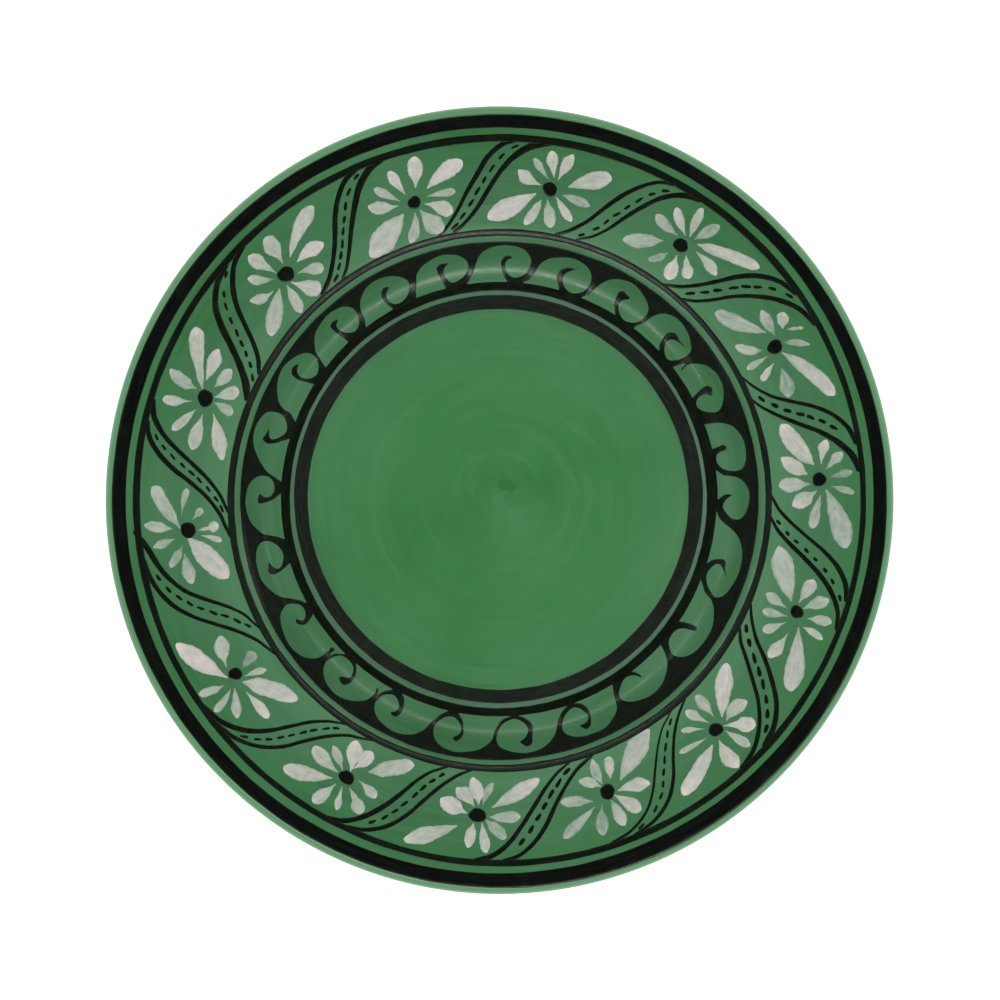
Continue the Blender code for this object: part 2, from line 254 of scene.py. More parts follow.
def fill_points(loops, spacing, edge, distance):
    """Points inside the outlines: an even grid, and two rows that follow every edge."""
    low, high = loops[0].min(0), loops[0].max(0)
    gx, gy = np.meshgrid(np.arange(low[0], high[0], spacing),
                         np.arange(low[1], high[1], spacing * 0.866))
    gx = gx + (np.arange(gx.shape[0])[:, None] % 2) * spacing * 0.5
    grid = np.stack([gx.ravel(), gy.ravel()], -1)
    grid = grid[in_region(grid, loops)]
    inside = [p for p in grid.tolist() if distance(p) > 0.62 * spacing + 0.2]
    for loop in loops:
        side = left_of(np.roll(loop, -1, 0) - np.roll(loop, 1, 0))
        for depth in (EDGE_NEAR, edge):
            for sign in (1, -1):
                row = loop + side * depth * sign
                row = row[in_region(row, loops)]
                inside += [p for p in row.tolist() if distance(p) > depth * 0.82]
    return inside


def triangulate(loops, inside):
    """Plan points and anticlockwise triangles that fill the outlines."""
    points = [Vector(p) for p in np.concatenate(loops).tolist() + inside]
    edges, base = [], 0
    for loop in loops:
        count = len(loop)
        edges += [(base + i, base + (i + 1) % count) for i in range(count)]
        base += count
    verts, _, found, _, _, _ = delaunay_2d_cdt(points, edges, [], 1, 1e-5)
    plan = np.array([tuple(v) for v in verts])
    tris = np.array([f for f in found if len(f) == 3])
    tris = tris[in_region(plan[tris].mean(1), loops)]
    a, b, c = (plan[tris[:, i]] for i in range(3))
    cross = (b[:, 0] - a[:, 0]) * (c[:, 1] - a[:, 1]) - (b[:, 1] - a[:, 1]) * (c[:, 0] - a[:, 0])
    solid = np.abs(cross) > 1e-9
    tris, cross = tris[solid], cross[solid]
    tris[cross < 0] = tris[cross < 0][:, ::-1]
    return plan, tris


class Layer:
    """Painted slip: closed, slightly domed bodies that lie on the glazed face."""

    def __init__(self):
        self.verts, self.faces, self.stroke, self.seed = [], [], [], []
        self.count = 0

    def add_points(self, plan, z, stroke, seed):
        start = self.count
        self.verts.append(np.concatenate([plan, z[:, None]], 1))
        self.stroke.append(stroke)
        self.seed.append(np.full(len(plan), seed))
        self.count += len(plan)
        return start

    def sheet(self, plan, height, stroke, seed, wrap=False):
        """A grid of points in plan.  The top stands height over the glaze, and the edge
        is shared with the underside."""
        rows, columns = plan.shape[:2]
        inner = np.zeros((rows, columns), bool)
        inner[(slice(None) if wrap else slice(1, -1)), 1:-1] = True
        base = surface(plan[..., 0], plan[..., 1])
        lift = np.where(inner, height, -EDGE_SINK)
        start = self.add_points(
            plan.reshape(-1, 2), (base + lift).ravel(), stroke.reshape(-1, 3), seed)
        top = start + np.arange(rows * columns).reshape(rows, columns)
        low = top.copy()
        first = self.add_points(plan[inner], base[inner] - UNDER_SINK, stroke[inner], seed)
        low[inner] = first + np.arange(inner.sum())

        def quads(index):
            near, far = (index, np.roll(index, -1, 0)) if wrap else (index[:-1], index[1:])
            corners = [near[:, :-1], far[:, :-1], far[:, 1:], near[:, 1:]]
            return np.stack(corners, -1).reshape(-1, 4)

        tops, unders = quads(top), quads(low)[:, [0, 3, 2, 1]]
        corner = plan.reshape(-1, 2)[tops - start]
        after = np.roll(corner, -1, 1)
        if (corner[..., 0] * after[..., 1] - after[..., 0] * corner[..., 1]).sum() < 0:
            tops, unders = tops[:, ::-1], unders[:, ::-1]
        self.faces += tops.tolist() + unders.tolist()

    def line(self, path, half, dome, seed, across=7):
        """A brush stroke along a path.  half is its half width at each point, or one for
        the right side and one for the left."""
        if half.ndim == 1:
            half = np.stack([half, half], -1)
        v = np.sin(np.linspace(-0.5, 0.5, across) * np.pi)
        reach = np.where(v < 0, half[:, :1] * v, half[:, 1:] * v)
        side = left_of(np.gradient(path, axis=0))
        plan = path[:, None, :] + side[:, None, :] * reach[..., None]
        run = run_along(path)
        full = np.clip(half.mean(1) / 0.35, 0, 1)
        ends = np.clip(np.minimum(run, run[-1] - run) / 0.35, 0, 1)
        rise = dome * full[:, None] * np.sqrt(np.clip(1 - v ** 2, 0, 1)) * np.sqrt(ends)[:, None]
        share = run / max(run[-1], 1e-6)
        parts = (run[:, None], v[None, :], share[:, None])
        stroke = np.stack([np.broadcast_to(part, plan.shape[:2]) for part in parts], -1)
        self.sheet(plan, rise, stroke, seed)

    def patch(self, loops, spacing, dome, seed, edge=EDGE_WIDE):
        """An area with holes.  loops are closed outlines in plan, the outside one first."""
        fence = np.concatenate(loops)
        tree = kdtree.KDTree(len(fence))
        for i, (x, y) in enumerate(fence):
            tree.insert((x, y, 0.0), i)
        tree.balance()

        def distance(p):
            return tree.find((p[0], p[1], 0.0))[2]

        plan, tris = triangulate(loops, fill_points(loops, spacing, edge, distance))
        # An edge used by one triangle only is the outline; it is shared with the underside.
        ends = np.sort(np.concatenate([tris[:, [0, 1]], tris[:, [1, 2]], tris[:, [2, 0]]]), 1)
        unique, times = np.unique(ends, axis=0, return_counts=True)
        rim = np.zeros(len(plan), bool)
        rim[unique[times == 1].ravel()] = True
        used = np.zeros(len(plan), bool)
        used[tris.ravel()] = True
        depth = np.array([distance(p) for p in plan])
        share = np.clip(depth / edge, 0, 1)
        z = surface(plan[:, 0], plan[:, 1])
        top = z + np.where(rim, -EDGE_SINK, dome * rounded(share))
        stroke = np.stack([np.hypot(plan[:, 0], plan[:, 1]), depth, share], -1)
        index = np.full(len(plan), -1)
        start = self.add_points(plan[used], top[used], stroke[used], seed)
        index[used] = start + np.arange(used.sum())
        low = index.copy()
        inner = used & ~rim
        first = self.add_points(plan[inner], z[inner] - UNDER_SINK, stroke[inner], seed)
        low[inner] = first + np.arange(inner.sum())
        self.faces += index[tris].tolist() + low[tris[:, ::-1]].tolist()

    def build(self, node, look, slot="black_slip", **attributes):
        make_object(
            node + "_paint", node, look, np.concatenate(self.verts), self.faces, sharp=60,
            attributes={"stroke": np.concatenate(self.stroke),
                        "seed": np.concatenate(self.seed), **attributes})


# ---------------------------------------------------------------------------------
# Node building
# ---------------------------------------------------------------------------------
class Signal:
    """An output socket that can be reckoned with; every step adds a node."""

    def __init__(self, nodes, socket):
        self.nodes, self.socket = nodes, socket

    def __add__(self, other):
        return self.nodes.math("ADD", self, other)

    def __radd__(self, other):
        return self.nodes.math("ADD", other, self)

    def __sub__(self, other):
        return self.nodes.math("SUBTRACT", self, other)

    def __mul__(self, other):
        return self.nodes.math("MULTIPLY", self, other)

    def __truediv__(self, other):
        return self.nodes.math("DIVIDE", self, other)

    def __gt__(self, other):
        return self.nodes.math("GREATER_THAN", self, other)

    def __lt__(self, other):
        return self.nodes.math("LESS_THAN", self, other)

    def __abs__(self):
        return self.nodes.math("ABSOLUTE", self)

    def eased(self, low, high, to=(0.0, 1.0), smooth=True):
        """Maps low and high to the two values of to, and holds them beyond."""
        inputs = {"Value": self, "From Min": low, "From Max": high,
                  "To Min": to[0], "To Max": to[1]}
        kind = "SMOOTHSTEP" if smooth else "LINEAR"
        return self.nodes.value("MapRange", 0, inputs, interpolation_type=kind, clamp=True)


class Nodes:
    """The node tree of a material or a world."""

    def __init__(self, owner):
        owner.use_nodes = True
        self.owner, self.tree = owner, owner.node_tree
        self.tree.nodes.clear()

    def node(self, kind, inputs, **settings):
        node = self.tree.nodes.new("ShaderNode" + kind)
        for key, value in settings.items():
            setattr(node, key, value)
        for key, value in inputs.items():
            if isinstance(value, Signal):
                self.tree.links.new(value.socket, node.inputs[key])
            elif value is not None:
                socket = node.inputs[key]
                socket.default_value = (*value, 1.0) if socket.type == "RGBA" else value
        return node

    def value(self, kind, output=0, inputs={}, **settings):
        return Signal(self, self.node(kind, inputs, **settings).outputs[output])

    def math(self, operation, *values):
        return self.value("Math", 0, dict(enumerate(values)), operation=operation)

    def vector(self, operation, a, b=None, scale=None):
        output = "Value" if operation == "LENGTH" else "Vector"
        inputs = {0: a, 1: b, "Scale": scale}
        return self.value("VectorMath", output, inputs, operation=operation)

    def blend(self, under, over, share, amount=None):
        """Colour over laid on colour under, by share and, if given, by amount."""
        if amount is not None:
            share = share * amount
        return self.value("Mix", 2, {0: share, 6: under, 7: over}, data_type="RGBA")

    def ramp(self, value, stops, interpolation):
        """A colour ramp.  stops are positions and colours."""
        node = self.node("ValToRGB", {0: value})
        line = node.color_ramp
        line.interpolation = interpolation
        while len(line.elements) > 1:
            line.elements.remove(line.elements[-1])
        for i, (position, colour) in enumerate(stops):
            stop = line.elements.new(position) if i else line.elements[0]
            stop.position = position
            stop.color = (*colour, 1.0)
        return Signal(self, node.outputs[0])

    def noise(self, vector, scale=1.0, detail=2.0, rough=0.5, distort=0.0):
        return self.value("TexNoise", 0, {
            "Vector": vector, "Scale": scale, "Detail": detail, "Roughness": rough,
            "Distortion": distort})

    def specks(self, point, scale, edge, rarity, channel=0):
        """Round dots.  edge fades them out, and cells above rarity have one."""
        cells = self.node("TexVoronoi", {"Vector": point, "Scale": scale})
        tint = Signal(self, cells.outputs["Color"])
        gap = Signal(self, cells.outputs["Distance"])
        return gap.eased(*edge) * (self.separate(tint)[channel] > rarity)

    def combine(self, x, y, z):
        return self.value("CombineXYZ", 0, {0: x, 1: y, 2: z})

    def separate(self, vector):
        return [Signal(self, output) for output in self.node("SeparateXYZ", {0: vector}).outputs]

    def place(self):
        """The point in millimetres, in the object's frame."""
        return self.vector("SCALE", self.value("TexCoord", "Object"), scale=1 / MM)

    def stroke(self):
        """The parts of the stroke attribute."""
        return self.separate(self.value("Attribute", "Vector", attribute_name="stroke"))

    def plan(self, point, centre=(0.0, 0.0)):
        """The offset in X and in Y from the centre, and the distance."""
        x, y, _ = self.separate(point)
        if centre != (0.0, 0.0):
            x, y = x - centre[0], y - centre[1]
        return x, y, self.math("SQRT", x * x + y * y)

    def polar(self, point, centre=(0.0, 0.0)):
        """The distance from the centre and the direction's two components."""
        x, y, r = self.plan(point, centre)
        safe = self.math("MAXIMUM", r, 0.01)
        return r, x / safe, y / safe

    def swept(self, polar, around, outward, twist=0.0, **noise):
        """Noise stretched round the plate, for marks left by a turning brush.  around and
        outward are its scales; twist turns it with radius, so that the marks spiral."""
        r, cx, cy = polar
        if twist:
            angle = r * twist
            sine, cosine = self.math("SINE", angle), self.math("COSINE", angle)
            cx, cy = cx * cosine - cy * sine, cx * sine + cy * cosine
        return self.noise(self.combine(cx * around, cy * around, r * outward), **noise)

    def bristles(self, run, side, seed, scales, **noise):
        """Noise that follows a stroke.  scales go along it, across it and by its seed."""
        along, across, apart = scales
        return self.noise(self.combine(run * along, side * across, seed * apart), **noise)

    def gloss(self, point, scale, to):
        """Uneven roughness between the two values of to."""
        return self.noise(point, scale=scale, detail=3.0, rough=0.6).eased(
            low=0.3, high=0.75, to=to)

    def bump(self, height, strength, distance):
        """distance is in millimetres."""
        return self.value("Bump", 0, {
            "Strength": strength, "Distance": distance * MM, "Height": height})

    def principled(self, colour, roughness, normal=None, specular=0.5, **more):
        return self.value("BsdfPrincipled", 0, {
            "Base Color": colour, "Roughness": roughness, "IOR": 1.5, "Normal": normal,
            "Specular IOR Level": specular, **more})

    def finish(self, *surface, **more):
        self.node("OutputMaterial", {0: self.principled(*surface, **more)})
        return self.owner


def new_material(name):
    return Nodes(bpy.data.materials.new(name))


# ---------------------------------------------------------------------------------
# Green glaze
# ---------------------------------------------------------------------------------
GREEN = (0.0465, 0.1980, 0.0630)
GREEN_DEEP = (0.0360, 0.1700, 0.0480)
GREEN_PALE = (0.0770, 0.2420, 0.1000)
GREEN_POOL = (0.030, 0.115, 0.040)
# Lighter green of the lip, partly a painted highlight.
GREEN_LIP_SHEEN = (0.125, 0.292, 0.150)
SPECK_PALE = (0.13, 0.27, 0.16)
SPECK_DARK = (0.02, 0.055, 0.025)
PINHOLE = (0.23, 0.13, 0.075)
TONE_REACH = 140.0             # radius at the end of the colour ramp

# Painted light and the coat's own changes of tone, by radius. A painted glow of reflection lies on
# the well wall at about 74 to 82, around the mirrored line of the softboxes, and where the rim
# turns down into the well, at about 90 to 104. The green is darker on the steepest part of the
# wall, 84 to 87, and on the outer rim, greyer on the thin green ring at 71, and lighter at the
# lip. Each row gives the radius, then what it does to red, green and blue.
GREEN_SHEEN_AND_TONE_BY_RADIUS = (
    (0, 0.95, 0.95, 0.92), (40, 0.96, 0.96, 0.94), (50, 1.06, 0.98, 1.03),
    (62, 1.13, 0.98, 1.10), (66, 1.20, 0.90, 1.20), (71, 1.56, 0.79, 1.47),
    (74, 1.22, 0.88, 1.18), (78, 1.16, 0.86, 1.16), (81, 1.12, 0.84, 1.13),
    (84, 0.97, 0.77, 0.99), (87, 0.99, 0.76, 1.00), (90, 1.24, 0.83, 1.19),
    (94, 1.48, 0.99, 1.46), (97, 1.44, 0.98, 1.44), (104, 1.16, 0.84, 1.18),
    (112, 1.10, 0.81, 1.12), (119, 0.92, 0.81, 0.95), (123, 0.90, 0.79, 0.91),
    (128, 0.93, 0.80, 0.93), (135, 1.04, 1.0, 1.02),
)


def green_colour(nodes, point, polar):
    """The green of the glaze: slow clouds and strokes that run round the plate."""
    clouds = nodes.noise(point, scale=0.022, detail=3.0)
    strokes = nodes.swept(polar, around=2.6, outward=0.42, twist=0.006, detail=3.0, rough=0.55)
    fine = nodes.swept(polar, around=7.0, outward=1.9, twist=0.01)
    # In the middle the wheel has smoothed them away.
    keep = polar[0].eased(low=46.0, high=66.0, to=(0.22, 1.0))
    strokes = 0.5 + (strokes - 0.5) * keep
    fine = 0.5 + (fine - 0.5) * keep
    shade = clouds * 0.5 + strokes * 0.35 + fine * 0.15
    colour = nodes.blend(GREEN_DEEP, GREEN, shade.eased(low=0.36, high=0.52))
    colour = nodes.blend(colour, GREEN_PALE, shade.eased(low=0.50, high=0.70), amount=0.45)
    return colour, strokes, fine


# Multiplies the glaze colour by the radius table, including its painted reflection glow and its
# darker bands.
def sheen_and_tone_by_radius(nodes, r, colour):
    # The ramp holds half the factors, so that they stay below one.
    stops = [(radius / TONE_REACH, [0.5 * c for c in rgb]) for radius, *rgb in GREEN_SHEEN_AND_TONE_BY_RADIUS]
    ramp = nodes.ramp(r / TONE_REACH, stops, "LINEAR")
    return nodes.vector("MULTIPLY", colour, nodes.vector("SCALE", ramp, scale=2.0))


def well_middle(nodes, point, colour):
    """Broad soft throwing rings that spiral in to a small swirl, with a smudge beside it, a
    fuller patch on one side and a thinner one on the other."""
    eye = nodes.polar(point, centre=(-0.3, 0.4))
    whirl = nodes.swept(eye, around=0.9, outward=0.13, twist=0.060, detail=1.6, distort=0.35)
    rings = nodes.swept(eye, around=0.55, outward=0.36, twist=0.035, detail=1.5, distort=0.25)
    marks = whirl * 0.6 + rings * 0.4
    near = eye[0].eased(low=30.0, high=66.0, to=(1.0, 0.30))
    for tone, low, high in ((GREEN_PALE, 0.50, 0.66), (GREEN_DEEP, 0.49, 0.35)):
        colour = nodes.blend(colour, tone, marks.eased(low, high), amount=near * 0.34)
    # How far the outlines of the small and of the wide patches stray.
    small = (nodes.noise(point, scale=0.30, rough=0.55) - 0.5) * 7.0
    wide = (nodes.noise(point, scale=0.08, detail=3.0) - 0.5) * 22.0
    for centre, stray, low, high, amount, tone in (
            # centre, stray, radii between which the patch fades, strength, colour
            ((-12.5, -13.5), wide, 4.0, 17.0, 0.40, GREEN_DEEP),
            ((7.5, -8.5), wide, 2.0, 13.0, 0.42, GREEN_PALE),
            ((2.4, 5.6), small, 1.2, 3.4, 0.75, (0.030, 0.148, 0.044)),
            ((-0.4, 0.2), small, 0.4, 3.0, 0.60, (0.070, 0.228, 0.105))):
        away = nodes.plan(point, centre)[2] + stray
        colour = nodes.blend(colour, tone, away.eased(low, high, to=(amount, 0.0)))
    return colour


def green_face():
    nodes = new_material("green_glaze_face")
    point = nodes.place()
    polar = nodes.polar(point)
    colour, strokes, fine = green_colour(nodes, point, polar)
    colour = well_middle(nodes, point, colour)
    # Painted glow of reflection on the well wall and where the rim turns into the well, together
    # with the coat's own tone, set by radius.
    colour = sheen_and_tone_by_radius(nodes, polar[0], colour)
    # Pinholes and specks of slip.
    speck = nodes.specks(point, scale=0.085, edge=(0.030, 0.016), rarity=0.86)
    colour = nodes.blend(colour, SPECK_PALE, speck, amount=0.5)
    dot = nodes.specks(point, scale=0.21, edge=(0.05, 0.03), rarity=0.92, channel=1)
    colour = nodes.blend(colour, SPECK_DARK, dot, amount=0.30)
    # Over the lip the green is painted lighter. This is a painted highlight where the lip rounds
    # over, and the coat is also thin there.
    lip = polar[0].eased(low=131.6, high=134.2)
    colour = nodes.blend(colour, GREEN_LIP_SHEEN, lip, amount=0.85)
    peel = nodes.noise(point, scale=0.55)
    height = strokes * 0.7 + fine * 0.35 + peel * 0.22 - speck * 0.8
    rough = nodes.gloss(point, scale=0.12, to=(0.15, 0.24))
    return nodes.finish(colour, rough, nodes.bump(height, strength=0.55, distance=0.06))


def green_back():
    nodes = new_material("green_glaze_back")
    point = nodes.place()
    polar = nodes.polar(point)
    colour, strokes, _ = green_colour(nodes, point, polar)
    # Darker pools, fainter inside the foot.
    pool = nodes.swept(polar, around=3.0, outward=0.05, detail=3.0, rough=0.55)
    share = polar[0].eased(low=40.0, high=80.0, to=(0.12, 0.5))
    colour = nodes.blend(colour, GREEN_POOL, pool.eased(low=0.42, high=0.7), amount=share)
    hole = nodes.specks(point, scale=0.16, edge=(0.05, 0.025), rarity=0.72)
    colour = nodes.blend(colour, PINHOLE, hole, amount=0.8)
    peel = nodes.noise(point, scale=0.45, detail=2.5, rough=0.55)
    height = strokes * 0.9 + peel * 0.3 - hole * 0.9
    rough = nodes.gloss(point, scale=0.1, to=(0.17, 0.28))
    return nodes.finish(colour, rough, nodes.bump(height, strength=0.6, distance=0.08))


# ---------------------------------------------------------------------------------
# Black slip, white slip and bare clay
# ---------------------------------------------------------------------------------
SLIP_OVER_GREEN = (0.014, 0.050, 0.020)
SLIP_AT_LIP = (0.036, 0.110, 0.046)
LINE_DARK, LINE_LIGHT = (0.0018, 0.0042, 0.0018), (0.0062, 0.0110, 0.0056)
LINE_THIN = (0.022, 0.066, 0.028)
WHITE_THIN, WHITE_MID = (0.140, 0.240, 0.165), (0.285, 0.352, 0.282)
WHITE_FULL, WHITE_THICK = (0.485, 0.472, 0.430), (0.625, 0.560, 0.525)
WHITE_BARE = (0.075, 0.190, 0.095)
CLAY_DARK, CLAY_LIGHT = (0.36, 0.165, 0.095), (0.50, 0.27, 0.165)
CLAY_GRAIN, CLAY_GRIT = (0.60, 0.38, 0.26), (0.17, 0.085, 0.055)


def finish_slip(nodes, point, colour, streaks, peel_scale, relief=0.05, specular=0.5):
    height = streaks * 0.6 + nodes.noise(point, scale=peel_scale) * 0.3
    rough = nodes.gloss(point, scale=0.3, to=(0.17, 0.28))
    normal = nodes.bump(height, strength=0.5, distance=relief)
    return nodes.finish(colour, rough, normal, specular=specular)


def black_slip(name, dark, light, bright, thin_at_lip=False, **finish):
    """Black slip under the glaze.  The three colours go from a full brush to a dry one."""
    nodes = new_material("black_slip_" + name)
    point = nodes.place()
    polar = nodes.polar(point)
    streaks = nodes.swept(polar, around=9.0, outward=1.3, detail=3.0, rough=0.6)
    clouds = nodes.noise(point, scale=0.09, detail=3.0, rough=0.55)
    colour = nodes.blend(dark, light, streaks.eased(low=0.35, high=0.7))
    colour = nodes.blend(colour, bright, clouds.eased(low=0.52, high=0.75), amount=0.55)
    # Where the brush left little, the green comes through the edge.
    ragged = nodes.stroke()[1] - nodes.swept(polar, around=30.0, outward=2.0, rough=0.6) * 0.20
    bare = ragged.eased(low=-0.02, high=0.13, to=(0.55, 0.0))
    colour = nodes.blend(colour, SLIP_OVER_GREEN, bare)
    if thin_at_lip:
        stray = nodes.swept(polar, around=22.0, outward=0.6, detail=3.0, rough=0.6) * 1.1
        thin = (polar[0] + stray).eased(low=132.9, high=134.1, to=(0.0, 0.92))
        colour = nodes.blend(colour, SLIP_AT_LIP, thin)
    return finish_slip(nodes, point, colour, streaks, peel_scale=0.8, **finish)


def black_line():
    """Black slip in strokes that run across the rim, such as the ribbons' lines."""
    nodes = new_material("black_slip_stroke")
    run, side, _ = nodes.stroke()
    seed = nodes.value("Attribute", "Fac", attribute_name="seed")
    streaks = nodes.bristles(run, side, seed, scales=(0.25, 1.6, 5.1), detail=3.0, rough=0.6)
    colour = nodes.blend(LINE_DARK, LINE_LIGHT, streaks.eased(low=0.35, high=0.7))
    thin = abs(side).eased(low=0.72, high=1.0) * streaks.eased(low=0.38, high=0.62)
    colour = nodes.blend(colour, LINE_THIN, thin, amount=0.55)
    return finish_slip(nodes, nodes.place(), colour, streaks, peel_scale=0.9)


def white_slip():
    """Off-white slip put on in one press of the brush: streaked lengthwise, thick where
    the brush lifted, and thin enough elsewhere for the green to come through."""
    nodes = new_material("white_slip")
    point = nodes.place()
    run, side, share = nodes.stroke()
    seed = nodes.value("Attribute", "Fac", attribute_name="seed")
    load = nodes.value("Attribute", "Fac", attribute_name="load")
    bristle = nodes.bristles(
        run, side, seed, scales=(0.16, 2.1, 7.3), detail=3.0, rough=0.6, distort=0.3)
    hairs = nodes.bristles(run, side, seed, scales=(0.35, 5.5, 3.1))
    moved = nodes.vector("ADD", point, nodes.combine(seed, seed, 0.0))
    pools = nodes.noise(moved, scale=0.42, detail=3.0, rough=0.55)
    rim = abs(side).eased(low=0.68, high=0.98)
    tip = share.eased(low=0.80, high=0.97)
    root = share.eased(low=0.02, high=0.30, to=(1.0, 0.0))
    # How much slip there is: more at the tip, less at the sides and the root.
    body = load + tip * 0.20 - rim * 0.30 - root * 0.22
    body = body + (bristle - 0.5) * 0.82 + (hairs - 0.5) * 0.34 + (pools - 0.5) * 0.75
    colour = WHITE_THIN
    for tone, low, high in (
            (WHITE_MID, -0.05, 0.33), (WHITE_FULL, 0.33, 0.90), (WHITE_THICK, 0.90, 1.26)):
        colour = nodes.blend(colour, tone, body.eased(low, high, smooth=False))
    colour = nodes.blend(colour, WHITE_BARE, body.eased(low=-0.02, high=-0.34), amount=0.75)
    height = bristle * 0.8 + hairs * 0.45
    rough = bristle.eased(low=0.3, high=0.7, to=(0.24, 0.36))
    return nodes.finish(colour, rough, nodes.bump(height, strength=0.6, distance=0.06))


def bare_clay():
    nodes = new_material("bare_clay")
    point = nodes.place()
    grain = nodes.noise(point, scale=1.7, detail=4.0, rough=0.65)
    clouds = nodes.noise(point, scale=0.06, detail=3.0)
    colour = nodes.blend(CLAY_DARK, CLAY_LIGHT, clouds.eased(low=0.3, high=0.7))
    colour = nodes.blend(colour, CLAY_GRAIN, grain.eased(low=0.45, high=0.75), amount=0.4)
    grit = nodes.specks(point, scale=0.55, edge=(0.28, 0.12), rarity=0.82)
    colour = nodes.blend(colour, CLAY_GRIT, grit, amount=0.75)
    turned_marks = nodes.swept(nodes.polar(point), around=2.0, outward=1.6)
    height = grain + grit * 0.6 + turned_marks * 0.7
    rough = grain.eased(low=0.3, high=0.7, to=(0.78, 0.92))
    return nodes.finish(colour, rough, nodes.bump(height, strength=0.8, distance=0.12))


FACE_LOOK = green_face()
BACK_LOOK = green_back()
# Each band has its own black. The well band's black is painted lighter than the others, partly as
# a painted reflection of the overhead light that its flat floor mirrors.
WELL_LOOK = black_slip(
    "well", (0.0078, 0.0118, 0.0078), (0.0130, 0.0186, 0.0128), (0.0180, 0.0245, 0.0176))
FRIEZE_LOOK = black_slip(
    "frieze", (0.0015, 0.0044, 0.0012), (0.0041, 0.0092, 0.0036), (0.0070, 0.0140, 0.0062))
SHOULDER_LOOK = black_slip(
    "shoulder", (0.0030, 0.0080, 0.0030), (0.0062, 0.0130, 0.0060), (0.0090, 0.0170, 0.0088),
    relief=0.012, specular=0.38)
RIM_LOOK = black_slip(
    "rim", (0.0024, 0.0062, 0.0021), (0.0052, 0.0105, 0.0047), (0.0080, 0.0150, 0.0072))
LIP_LOOK = black_slip(
    "lip", (0.0012, 0.0026, 0.0012), (0.0036, 0.0056, 0.0036), (0.0060, 0.0090, 0.0058),
    thin_at_lip=True)
EYE_LOOK = black_slip(
    "eye", (0.0018, 0.0040, 0.0016), (0.0048, 0.0082, 0.0044), (0.0075, 0.0120, 0.0068))
LINE_LOOK = black_line()
WHITE_LOOK = white_slip()
CLAY_LOOK = bare_clay()


# ---------------------------------------------------------------------------------
# Body, foot ring and glaze coats
# ---------------------------------------------------------------------------------
# Sections as radius and height.
BACK_POINTS = (
    (132.45, 21.05), (131.2, 20.62), (129.0, 20.28), (125.0, 19.6), (118.0, 18.4),
    (109.0, 16.88), (101.5, 15.55), (97.0, 14.45), (93.0, 12.75), (89.0, 10.3), (85.0, 7.45),
    (81.5, 5.2), (78.6, 3.55), (77.2, 2.95), (76.55, 2.72),
)
FOOT_OUTSIDE = ((75.72, 2.98), (75.62, 2.3), (75.45, 1.5), (75.25, 0.85), (74.95, 0.38),
                (74.5, 0.10), (73.9, 0.0))
FOOT_UNDER = ((73.2, 0.0), (72.5, 0.0), (71.8, 0.0))
FOOT_INSIDE = ((71.1, 0.0), (70.5, 0.10), (70.05, 0.38), (69.75, 0.85), (69.6, 1.5),
               (69.42, 2.3), (69.3, 2.98))
WELL_EDGE = ((68.72, 2.96), (68.80, 2.83), (68.72, 2.70), (68.5, 2.62), (68.0, 2.57))


def face_section():
    r = np.concatenate([
        [0.0, 0.6, 1.5], np.arange(3.0, 60.0, 1.9), np.arange(61.0, 100.0, 0.8),
        np.arange(100.8, 130.5, 1.2)])
    flat = np.stack([r, np.interp(r, FACE_R, FACE_Z)], -1)
    return np.concatenate([flat, lip_arc(0.0, 156.0, 7.0)])


def build_face_glaze():
    section = face_section()
    clay_side = outline_offset(section, -GLAZE_THICK)[::-1]
    clay_side = clay_side[clay_side[:, 0] > 2.0][::3]
    profile = np.concatenate([section, clay_side, [[0.0, FLOOR_Z - GLAZE_THICK]]])

    def lift(i, r, th):
        return uneven(r, th) * (1.0 if i < len(section) else 0.85)

    turned("face_glaze_coat", "face_glaze", FACE_LOOK, profile, 540, lift)


def build_back_glaze():
    under = spline(BACK_POINTS, 6)
    clay_side = outline_offset(under, -GLAZE_THICK)
    edge = [[under[-1][0] - 0.18, under[-1][1] + 0.14]]
    profile = np.concatenate([clay_side[:1], under, edge, clay_side[:0:-2]])

    def lift(i, r, th):
        return slow_warp(th) * (r / 135.0) ** 2 + 0.03 * np.sin(TURN * r / 6.1 + th)

    # Reversed, so that the faces look outwards.
    turned("back_glaze_coat", "back_glaze", BACK_LOOK, profile[::-1], 480, lift)


def build_foot_well_glaze():
    r = np.arange(66.5, 2.0, -2.4)
    flat = np.stack([r, np.full(len(r), WELL_UNDER)], -1)
    top = [[0.0, WELL_TOP], [30.0, WELL_TOP], [60.0, WELL_TOP]]
    profile = np.concatenate([top, WELL_EDGE, flat, [[0.0, WELL_UNDER]]])
    first_flat = len(top) + len(WELL_EDGE)

    def ripple(i, r, th):
        fade = np.clip((66.0 - r) / 8.0, 0, 1) * np.clip(r / 10.0, 0, 1) * (i >= first_flat)
        return 0.05 * np.sin(TURN * r / 9.0 + th) * fade

    turned("foot_well_glaze_coat", "foot_well_glaze", BACK_LOOK, profile, 360,
           ripple)


def build_foot_ring():
    """Trimmed on the wheel, its edges softened with a wet sponge."""
    profile = np.concatenate([spline(FOOT_OUTSIDE, 3), FOOT_UNDER, spline(FOOT_INSIDE, 3)])

    def trim(i, r, th):
        keep = 0.02 <= profile[i][1] <= 2.9
        return keep * (0.03 * np.sin(23 * th + i) + 0.02 * np.sin(41 * th))

    turned("trimmed_foot_ring", "foot_ring", CLAY_LOOK, profile, 360, trim)


